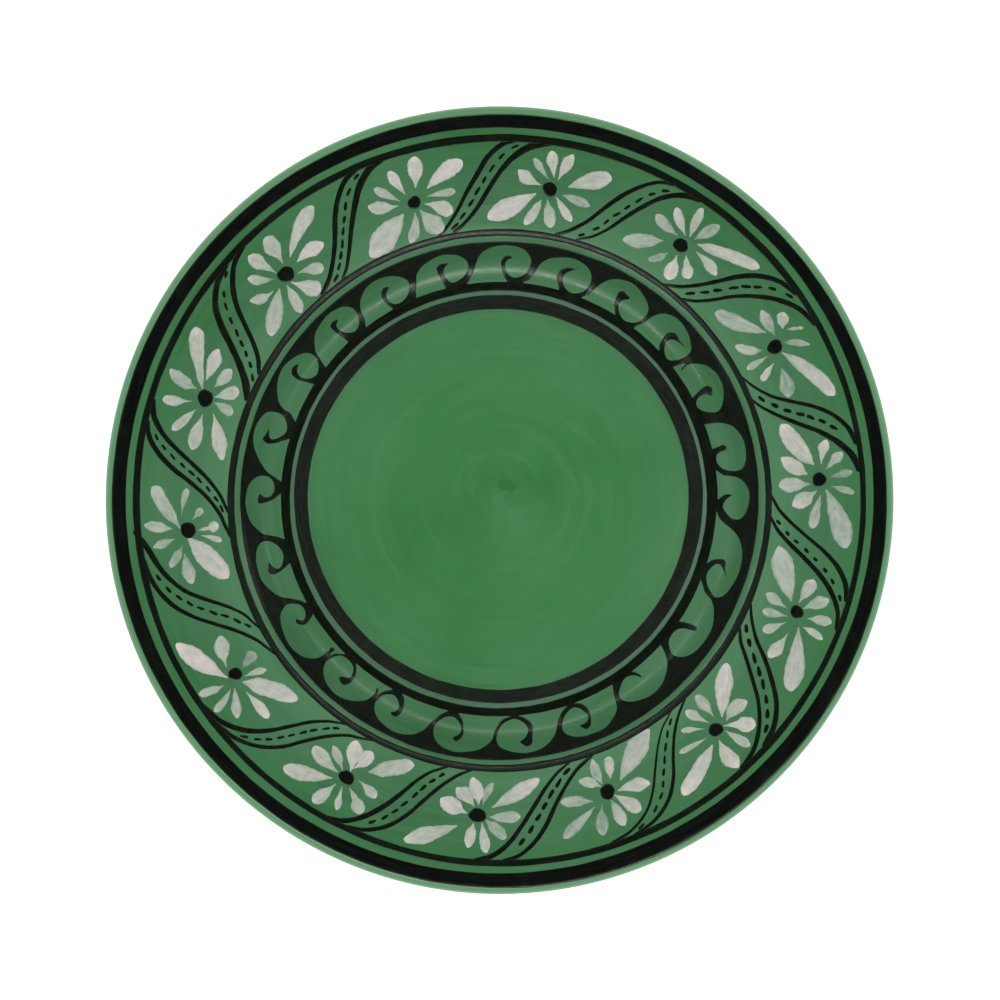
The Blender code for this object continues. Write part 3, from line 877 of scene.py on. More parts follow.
def build_clay_body():
    """The clay inside its coats; it shows in a thin line under the lip and at the foot."""
    top = outline_offset(face_section(), -CLAY_DEPTH)
    top = top[top[:, 0] > 1.0][::2]
    bottom = outline_offset(spline(BACK_POINTS, 3), -CLAY_DEPTH)
    profile = np.concatenate([
        [[0.0, FLOOR_Z - CLAY_DEPTH]], top, bottom[bottom[:, 0] > 76.4],
        [[76.0, 3.04], [40.0, 3.04], [0.0, 3.04]]])

    def follow(i, r, th):
        if i <= len(top) - 6:
            return uneven(r, th)
        return slow_warp(th) * (r / 135.0) ** 2

    turned("thrown_clay_body", "clay_body", CLAY_LOOK, profile, 240, follow)


# ---------------------------------------------------------------------------------
# Painted bands
# ---------------------------------------------------------------------------------
# An edge is a mean radius, then how far the circle strays and in which direction, once,
# twice and three times round.
FRIEZE_IN = (71.70, (0.51, 149), (0.08, 127), (0.03, -135))
FRIEZE_OUT = (89.11, (0.14, -93), (0.27, 95), (0.09, 95))

# Each band: its node, look, inner and outer edge and seed, then the angle at which the brush
# was set down and how much each edge swells there.
BANDS = (
    ("well_band", WELL_LOOK, (65.43, (0.54, 145), (0.03, 50), (0.10, 140)),
     (70.33, (0.57, 124), (0.05, -17), (0.10, 114)), 11, 318, 0.12),
    ("shoulder_line", SHOULDER_LOOK, (90.92, (0.11, -2), (0.31, 57), (0.01, 0)),
     (93.36, (0.14, -79), (0.15, 45), (0.03, -82)), 23, 205, 0.12),
    ("rim_line", RIM_LOOK, (123.20, (0.24, -29), (0.21, -6), (0.12, 98)),
     (125.63, (0.14, 33), (0.07, -28), (0.18, 147)), 37, 72, 0.12),
    ("lip_band", LIP_LOOK, (127.84, (0.03, 105), (0.26, 46), (0.13, 80)),
     (132.75, (0.34, -80), (0.19, -47), (0.14, 161)), 51, 141, 0.08),
)


def wander(th, seed):
    """How far a hand painted edge strays from its slow sweep."""
    rng = np.random.default_rng(seed)
    terms = [(k, 0.035 * rng.uniform(0.3, 1.0), rng.uniform(0, TURN))
             for k in (5, 8, 13, 19, 31, 47, 73)]
    return sum(amount * np.sin(k * th + phase) for k, amount, phase in terms)


def edge_at(edge, th, seed):
    mean, *terms = edge
    r = mean + wander(th, seed)
    for times, (amount, toward) in enumerate(terms, 1):
        r = r + amount * np.cos(times * th - math.radians(toward))
    return r


def build_band(node, look, inner_edge, outer_edge, seed, start, swell):
    """A band laid on a turning plate with a loaded brush."""
    steps = 720
    th = np.arange(steps) * TURN / steps
    away = np.degrees((th - math.radians(start) + np.pi) % TURN - np.pi)
    bump = swell * np.exp(-0.5 * (away / 3.0) ** 2)
    inner = edge_at(inner_edge, th, seed + 1) - bump
    outer = edge_at(outer_edge, th, seed + 2) + bump
    width = outer - inner
    count = max(1, int(round((outer_edge[0] - inner_edge[0] - 2 * EDGE_WIDE) / 0.9)))
    middle = [EDGE_WIDE + (width - 2 * EDGE_WIDE) * (i + 1) / (count + 1) for i in range(count)]
    columns = [np.zeros(steps), np.full(steps, EDGE_NEAR), np.full(steps, EDGE_WIDE), *middle,
               width - EDGE_WIDE, width - EDGE_NEAR, width]
    columns = np.stack(columns, -1)
    r = inner[:, None] + columns
    plan = np.stack([r * np.cos(th)[:, None], r * np.sin(th)[:, None]], -1)
    depth = np.minimum(columns, width[:, None] - columns)
    share = np.clip(depth / EDGE_WIDE, 0, 1)
    layer = Layer()
    layer.sheet(plan, PAINT_DOME * rounded(share), np.stack([r, depth, share], -1),
                seed * 0.37, wrap=True)
    layer.build(node, look)


# ---------------------------------------------------------------------------------
# Scroll frieze
# ---------------------------------------------------------------------------------
SCROLL_R = 80.5                # radius at which degrees are brought to lengths

# The waves left bare in the black frieze, a paragraph for each.  Pairs of an angle and a
# radius follow its edge: mostly from its foot up the back, over the crest, down and round the
# bowl, over the head of the black hook, and down the stem.  The bed closes it.
SCROLLS = number_table("""
20.2 75.2  19.9 77.1  19.6 79.3  18.8 81.7  17.6 83.9  16.0 85.3  14.0 86.2  12.4 86.3
10.4 86.0  8.4 85.1  7.4 83.9  7.1 82.4  7.2 80.5  8.0 77.8  9.2 76.3  10.6 75.9
11.8 76.5  12.3 78.0  12.5 79.5  13.1 80.1  13.9 79.5  13.8 77.5  13.6 75.3

37.4 75.2  37.0 77.3  36.6 78.8  36.3 79.3  35.9 77.4  35.5 76.5  35.4 77.4  35.7 79.3
35.4 81.0  34.4 82.9  32.8 84.9  30.8 86.1  28.0 86.3  25.6 85.3  23.6 83.6  22.6 82.2
22.2 80.5  22.8 78.3  24.0 76.1  25.2 75.3  26.4 75.6  27.2 77.1  27.3 79.0  27.2 80.0
26.2 81.1  26.6 81.9  28.0 82.5  28.9 81.4  28.9 79.5  28.5 77.1  28.0 75.2

52.0 75.1  51.7 76.4  51.2 77.6  50.7 79.1  50.5 80.7  49.8 83.2  48.6 85.4  46.8 86.8
44.6 87.2  42.0 86.6  39.6 85.1  38.0 83.4  37.7 81.4  37.7 80.5  38.3 78.0  39.2 76.1
40.2 75.5  41.6 76.1  43.0 77.8  43.5 79.5  43.0 81.0  41.6 82.0  40.0 82.5  39.6 82.9
41.6 82.8  42.6 83.3  44.0 83.1  44.9 81.4  44.7 79.0  44.2 76.8  43.2 75.2

68.0 75.1  67.2 76.4  66.9 77.4  66.6 76.6  66.2 78.5  65.4 80.7  64.6 82.7  63.0 85.1
60.8 86.6  58.2 87.3  55.2 86.1  52.8 84.2  51.8 82.4  51.6 80.5  52.0 78.0  53.2 76.3
55.0 75.4  56.0 75.5  57.6 76.8  58.6 78.8  58.6 80.2  58.0 81.2  57.2 82.2  57.2 82.8
58.4 83.2  59.3 83.6  60.1 82.7  60.1 80.5  59.6 78.0  58.6 76.1  58.1 75.2

83.8 75.2  82.4 76.5  81.6 78.3  80.8 80.5  80.0 82.7  78.4 84.6  76.0 85.9  73.0 86.7
70.0 85.9  68.2 84.2  67.5 82.4  67.3 81.0  67.6 78.8  68.6 76.8  71.0 75.5  72.6 76.3
73.8 78.0  74.1 80.0  73.6 81.4  72.0 83.2  70.9 84.2  72.4 83.6  73.8 83.3  74.8 82.4
75.6 80.5  75.4 78.3  74.6 76.3  74.3 75.2

98.5 75.2  97.6 76.8  96.4 79.5  95.6 81.9  94.6 84.4  92.8 86.3  90.4 87.3  88.0 87.5
84.8 86.7  83.2 84.9  82.5 82.9  82.5 81.9  83.0 79.5  84.0 77.8  86.2 76.8  87.8 77.8
88.6 79.7  88.5 81.7  87.8 82.9  86.9 83.4  87.4 84.0  88.6 84.0  89.6 82.4  89.5 80.0
89.0 77.5  88.1 75.2

112.3 75.3  111.8 77.3  111.0 79.7  110.2 82.4  108.8 84.2  106.4 85.6  103.4 86.4
100.0 85.4  98.2 83.6  97.6 81.7  98.0 79.7  99.4 77.8  101.6 76.6  102.8 77.0
103.4 78.3  103.9 80.0  103.6 81.4  103.2 82.2  102.2 83.3  103.2 83.6  104.4 83.7
105.3 82.4  105.2 80.7  104.7 78.3  104.3 75.2

127.6 75.2  126.6 78.0  126.3 80.2  125.4 82.7  124.0 84.6  122.0 86.1  119.6 86.6
116.0 85.6  113.8 83.6  112.8 81.9  112.7 80.7  113.2 78.8  114.6 77.0  116.6 76.1
118.2 76.6  119.1 78.3  119.1 80.0  118.6 81.2  117.6 82.2  117.4 82.6  119.0 83.2
119.7 82.2  120.2 80.5  120.0 78.0  119.2 75.2

142.6 75.3  142.2 76.8  141.6 79.3  141.2 81.0  140.0 82.9  138.4 84.9  136.0 86.1
132.4 86.7  129.2 85.6  127.8 83.9  127.3 81.9  127.5 80.2  128.3 78.0  130.2 76.6
131.6 77.1  132.8 78.8  133.3 80.5  133.0 82.2  132.2 82.9  131.8 83.5  133.2 84.0
134.0 83.9  134.4 82.7  134.3 80.5  134.0 78.0  133.8 75.3

158.9 75.3  158.2 76.5  157.4 78.0  157.1 80.5  156.2 82.7  154.4 84.6  152.0 86.3
148.8 87.2  145.6 86.1  143.2 84.2  142.3 82.4  142.1 81.0  142.6 79.0  143.8 77.3
145.6 76.4  147.2 77.5  148.1 79.3  148.2 80.7  147.6 82.4  145.9 83.6  147.6 84.5
148.6 83.9  149.1 82.4  149.1 80.2  148.6 77.5  148.1 75.3

175.1 75.4  174.0 78.0  173.0 80.5  171.6 82.4  169.6 84.6  167.2 86.6  164.2 87.5
160.8 86.6  159.2 85.1  158.6 82.9  158.6 80.7  159.6 78.5  161.8 77.1  163.4 78.0
164.5 79.7  165.0 81.1  164.4 82.2  162.7 82.9  164.4 83.6  165.4 84.2  166.3 82.4
165.8 79.7  164.6 77.1  163.8 75.3

190.2 75.2  189.2 77.8  188.6 80.2  188.0 82.2  186.8 83.9  184.8 85.9  182.0 87.0
179.8 87.2  176.4 86.1  174.6 83.9  174.1 81.7  174.4 79.7  175.6 78.0  177.2 77.6
178.6 78.3  179.2 79.7  179.2 81.0  178.5 82.4  179.0 82.9  180.0 83.2  180.8 82.7
180.6 80.5  179.8 77.8  178.3 75.3

208.0 75.2  206.4 77.1  205.0 79.7  203.8 82.2  201.6 84.4  198.8 86.1  196.0 86.4
192.4 85.6  190.4 83.9  189.9 81.7  190.5 79.7  191.8 77.8  193.8 76.8  195.8 77.5
197.0 78.8  197.1 80.0  196.4 81.2  195.0 82.1  196.2 82.8  197.4 83.3  198.2 81.9
198.0 79.3  196.8 75.3

224.8 75.0  223.0 77.3  222.4 79.1  222.2 78.5  222.3 76.8  221.8 76.3  221.1 76.9
221.3 78.1  221.2 79.3  221.1 81.9  220.2 84.2  218.6 86.1  216.8 87.2  214.2 87.6
210.4 86.6  207.6 84.9  206.4 82.4  206.2 81.0  206.7 79.3  207.8 77.5  209.2 77.0
210.6 77.6  211.3 78.8  211.1 80.0  210.2 81.0  210.8 81.6  211.8 81.2  212.6 79.5
212.3 77.5  211.5 75.2

240.4 74.8  238.8 76.8  238.0 78.6  237.8 79.1  237.5 77.4  237.2 76.9  236.8 77.4
237.1 78.8  237.0 80.0  236.4 82.2  234.8 84.4  232.4 86.3  229.6 87.2  226.0 86.1
223.9 83.9  223.0 81.7  223.0 80.7  223.4 78.5  224.4 76.5  226.8 75.7  228.6 76.3
229.6 78.0  229.8 79.7  228.6 81.0  227.8 81.9  228.6 83.1  229.8 83.2  230.7 81.4
230.8 79.0  230.0 76.5  228.7 74.8

256.2 74.6  254.6 76.3  253.8 78.0  252.8 80.0  252.0 82.4  250.7 84.6  248.5 86.5
245.6 87.3  241.2 86.0  239.2 83.9  238.5 81.9  238.6 80.5  239.2 78.1  240.4 76.9
241.8 76.4  243.4 77.8  244.1 79.3  243.8 80.7  242.8 82.1  243.6 82.8  244.6 82.4
245.2 80.2  245.0 77.8  244.4 75.8  243.4 74.6

272.8 74.4  270.6 75.6  269.4 77.8  268.7 79.7  268.3 81.9  267.2 83.9  265.2 85.9
262.4 87.1  259.6 87.7  256.4 86.6  254.6 84.4  253.9 81.2  254.4 79.3  255.6 77.3
257.6 76.3  259.2 77.1  260.2 78.8  260.5 80.5  260.0 81.9  258.8 83.2  259.7 84.3
260.6 83.4  261.2 81.4  261.0 79.3  260.6 77.1  259.2 74.6

288.0 74.5  286.4 75.8  285.0 78.0  284.3 80.0  283.4 82.4  281.6 84.9  279.2 86.6
276.0 87.2  272.0 86.1  269.9 84.4  269.3 82.4  269.6 80.0  270.6 77.3  273.8 75.5
276.0 76.8  277.0 78.8  277.0 80.2  276.2 81.9  274.8 83.4  275.6 84.6  276.5 85.2
277.6 84.4  277.9 82.4  278.2 80.0  278.4 78.6  277.8 76.8  276.4 75.2  275.2 74.4

301.4 74.4  300.4 77.8  300.0 80.0  299.2 82.4  297.2 84.6  294.8 86.1  292.2 86.3
288.4 85.6  286.0 83.6  285.4 81.7  285.8 79.7  286.9 77.5  289.0 75.9  290.6 76.3
291.8 78.3  292.3 80.0  291.6 81.7  289.6 82.4  290.8 84.2  292.0 83.6  292.6 81.9
293.0 80.0  292.9 77.5  291.8 75.3  290.5 74.4

318.0 74.5  317.6 76.1  316.8 78.5  315.6 80.7  313.6 82.7  311.2 84.3  308.2 84.8
305.2 83.9  302.4 81.9  301.4 80.0  301.8 78.0  303.2 76.3  305.0 75.0  306.6 75.3
307.8 76.5  308.7 78.3  308.9 77.5  308.6 76.1  307.8 74.5

338.4 74.5  337.4 75.6  336.0 77.1  335.2 79.0  334.6 80.7  332.8 82.7  330.4 84.4
328.0 85.3  325.6 85.4  321.6 84.6  319.2 82.4  318.3 79.7  318.9 77.8  320.2 75.9
322.4 75.2  324.4 76.1  325.4 78.0  325.9 80.0  326.5 81.2  327.2 80.5  327.1 78.5
326.6 76.1  326.0 74.6

357.0 74.7  355.4 75.8  354.2 77.5  353.2 79.7  352.0 81.9  350.3 83.8  347.6 85.3
344.0 85.8  340.0 85.1  336.8 83.4  335.8 81.2  336.5 79.5  337.6 77.5  340.0 75.8
342.0 76.3  343.4 77.5  343.7 78.8  343.0 80.2  341.2 82.3  343.2 81.0  344.4 80.8
345.2 80.0  345.0 78.0  344.4 76.1  343.2 74.6

367.8 75.2  366.4 77.4  366.1 78.8  365.7 81.2  364.8 83.4  363.2 85.1  361.2 85.8
357.6 84.9  355.9 83.4  355.4 82.2  355.5 80.5  356.5 78.5  358.4 76.9  360.0 77.8
361.2 80.0  361.5 79.3  361.4 77.3  360.2 75.1
""")


def scroll_outline(lines, rng):
    # Degrees and radius are brought to like lengths for an even curve.
    across = math.radians(1) * SCROLL_R
    curve = spline(np.concatenate(lines).reshape(-1, 2) * (across, 1.0))
    curve = resample(curve, int(run_along(curve)[-1] / 0.42))
    bed_count = int(abs(curve[0][0] - curve[-1][0]) / 0.55) + 2
    bed = np.linspace(curve[-1], curve[0], bed_count)[1:-1]
    curve = np.concatenate([curve, bed])
    i = np.arange(len(curve))
    wobble = 0.035 * np.sin(i * 0.55 + rng.uniform(0, 6)) * np.sin(i * 0.13 + 1.0)
    return at(curve[:, 0] / across, curve[:, 1] + wobble)


def build_frieze():
    rng = np.random.default_rng(5)
    th = np.arange(900) * TURN / 900
    loops = []
    for edge, seed in ((FRIEZE_OUT, 61), (FRIEZE_IN, 67)):
        r = edge_at(edge, th, seed)
        loops.append(np.stack([r * np.cos(th), r * np.sin(th)], -1))
    loops += [scroll_outline(lines, rng) for lines in SCROLLS]
    layer = Layer()
    layer.patch(loops, spacing=0.95, dome=PAINT_DOME, seed=0.3)
    layer.build("scroll_frieze", FRIEZE_LOOK)


# ---------------------------------------------------------------------------------
# Ribbons
# ---------------------------------------------------------------------------------
RIBBON_R = (122.0, 117.9, 112.4, 106.2, 100.1, 95.9, 94.6)
TOP_R, LOW_R = 123.75, 92.85     # the lines start in the rim line and end in the shoulder line

# Each ribbon's first line, second line and stitches.  A line has its angles at RIBBON_R, then
# its width near the rim, half way and near the shoulder.  The stitches have their length and
# width, then the radius of each.
RIBBONS = number_table("""
7.1 9.6 12.0 14.2 16.8 19.2 20.2  2.2 1.55 0.85
11.7 14.4 16.6 18.5 20.8 23.7 25.1  1.65 1.3 0.75
2.6 1.35  117.2 113.8 110.3 107.2 103.5 99.7 96.3

32.3 35.5 38.4 41.1 43.3 45.4 46.4  1.75 1.45 0.9
37.7 40.6 43.0 45.0 47.4 49.8 51.0  1.8 1.6 0.95
2.9 1.2  121.6 118.2 114.8 111.7 108.3 103.8 100.1 96.3

58.8 61.6 63.8 66.0 68.2 70.6 71.9  1.95 1.45 0.75
63.2 65.7 68.1 70.3 72.6 75.2 76.4  1.3 1.55 1
2.5 1.05  120.3 117.2 113.4 109.6 105.9 102.1 99.0 95.3

84.6 87.6 90.0 92.2 94.6 97.1 98.2  2.5 1.55 1.1
89.5 91.9 93.8 96.1 98.4 100.6 101.5  1.85 1.5 0.9
2.8 1.0  121.3 117.9 113.8 110.0 106.2 102.4 98.3 95.3

111.4 114.0 116.2 118.6 121.0 123.1 124.0  2.4 1.8 0.85
115.5 117.9 120.1 122.1 124.8 127.6 129.0  1.8 1.6 1.25
2.7 1.0  121.3 117.5 113.8 110.0 106.6 103.1 100.1 97.3 94.6

138.0 140.9 143.4 145.4 147.5 149.7 150.9  1.85 1.65 1.2
142.4 145.7 148.0 150.1 152.7 155.3 156.6  1.95 2.15 2
2.4 1.05  121.6 117.9 114.8 110.7 106.9 103.5 100.4 97.3 94.6

166.2 168.7 170.9 173.2 176.0 179.0 180.6  1.9 1.4 0.95
169.7 172.2 174.5 176.7 179.6 183.1 185.2  1.75 1.5 1
2.4 0.95  119.6 116.5 113.1 109.3 106.2 103.1 100.1 97.3 95.3

187.6 192.1 196.0 198.7 201.4 204.2 206.1  2 1.4 0.8
193.5 197.6 200.8 203.6 206.8 210.2 212.2  1.6 1.35 0.9
2.6 1.05  119.9 117.5 114.8 112.0 109.0 105.5 102.4 99.0 96.6

218.3 221.9 224.7 227.0 229.5 232.3 233.7  1.95 1.45 0.75
221.8 225.7 228.7 231.0 234.0 237.3 239.6  1.5 1.3 0.8
2.4 0.95  119.2 116.5 113.8 110.7 107.6 104.2 101.4 98.3 96.3

244.2 246.8 249.2 251.4 253.6 256.0 257.3  1.85 1.6 0.8
247.8 251.1 253.6 255.8 258.4 261.0 262.2  1.4 1.4 0.95
2.4 1.1  118.6 115.5 112.4 109.0 105.2 102.1 99.0 96.3

268.7 271.4 273.7 276.2 279.0 281.7 283.0  1.7 1.45 0.85
273.1 275.8 278.2 280.4 283.3 286.2 287.8  1.45 1.4 1
3.0 1.3  117.5 113.4 109.6 105.9 102.4 99.0 95.9

291.6 295.3 297.9 300.2 302.9 305.7 307.3  1 0.8 0.5
295.7 299.4 302.0 304.1 306.8 309.8 311.2  1.2 1.2 0.7
2.6 0.95  122.0 118.6 115.5 112.4 109.0 105.5 102.1 98.7 95.9

315.5 319.0 322.1 324.7 327.5 329.6 330.7  1.5 1.3 1
320.3 323.6 326.3 329.0 331.6 334.5 335.8  1.9 1.45 0.9
3.1 1.35  120.3 117.5 114.1 110.3 106.6 102.8 98.7 95.3

341.7 344.5 347.0 349.3 351.7 353.9 355.0  1.55 1.65 1
346.3 348.9 351.1 353.2 355.7 358.1 359.4  1.8 1.2 0.9
1.9 1.1  121.3 117.5 114.1 110.0 106.6 102.8 99.4 95.9
""")
LONG_LINE = (8, (184.7, 125.9))   # this ribbon's first line was begun beyond the rim line
OFF_MIDDLE = (3, 14)              # the stitches of these ribbons lie nearer the first line


def ribbon_path(angles, top=None):
    """The line flares at both ends, where the brush swung along the bands."""
    r = RIBBON_R
    first = angles[0] + 2.5 * (angles[0] - angles[1]) / (r[0] - r[1]) * (TOP_R - r[0])
    last = angles[-1] + 1.7 * (angles[-1] - angles[-3]) / (r[-1] - r[-3]) * (LOW_R - r[-1])
    stations = [top or (first, TOP_R), *zip(angles, r), (last, LOW_R)]
    return resample(spline([at(*station) for station in stations], 12), 120)


def paint_ribbon_line(layer, path, widths, seed, rng):
    top, mid, low = widths * (1.10, 1.14, 1.32)
    s = np.linspace(0, 1, len(path))
    body = np.interp(
        s, (0, 0.10, 0.30, 0.52, 0.72, 0.90, 1.0),
        (0.74 * top, top, 0.5 * (top + mid) * 1.03, mid, 0.5 * (mid + low), low, 0.8 * low))
    kernel = np.hanning(13) / np.hanning(13).sum()
    body = np.convolve(np.pad(body, 6, mode="edge"), kernel, mode="valid")
    shake = (1 + 0.05 * np.sin(s * rng.uniform(9, 16) + rng.uniform(0, 6))
             + 0.03 * np.sin(s * 47 + rng.uniform(0, 6)))
    ends = np.clip(np.minimum(s, 1 - s) / 0.02, 0, 1)
    layer.line(path, 0.5 * body * shake * rounded(ends, least=0.01), 0.09, seed)


def paint_stitch(layer, middle, radius, length, width, seed, rng):
    run = run_along(middle)
    place = np.interp(-radius, -np.hypot(middle[:, 0], middle[:, 1]), run)
    size = length * rng.uniform(1.02, 1.34)
    t = np.linspace(place - 0.5 * size, place + 0.5 * size, 16)
    dash = np.stack([np.interp(t, run, column) for column in middle.T], -1)
    dash += rng.uniform(-0.12, 0.12, 2)
    tilt = rng.uniform(-0.18, 0.12)
    centre = dash.mean(0)
    cosine, sine = math.cos(tilt), math.sin(tilt)
    dash = centre + (dash - centre) @ np.array([[cosine, sine], [-sine, cosine]])
    q = np.linspace(-1, 1, 16)
    lead = rng.uniform(-0.30, 0.30)
    half = 0.5 * width * rng.uniform(0.98, 1.20)
    half = half * np.sqrt(np.clip(1 - np.abs(q) ** 2.6, 0.003, 1)) * (1 + lead * q)
    layer.line(dash, half, 0.07, seed)


def build_ribbons():
    rng = np.random.default_rng(19)
    angles = len(RIBBON_R)
    for number, (first, second, (length, width, *radii)) in enumerate(RIBBONS, 1):
        layer = Layer()
        seed = (number - 1) * 1.7
        top = LONG_LINE[1] if number == LONG_LINE[0] else None
        paths = ribbon_path(first[:angles], top), ribbon_path(second[:angles])
        for j, (path, line) in enumerate(zip(paths, (first, second))):
            paint_ribbon_line(layer, path, line[angles:], seed + j * 0.61, rng)
        share = 0.62 if number in OFF_MIDDLE else 0.5
        middle = share * paths[0] + (1 - share) * paths[1]
        for j, radius in enumerate(radii):
            paint_stitch(layer, middle, radius, length, width, seed + j * 0.13 + 3.0, rng)
        layer.build("ribbon_%02d" % number, LINE_LOOK)


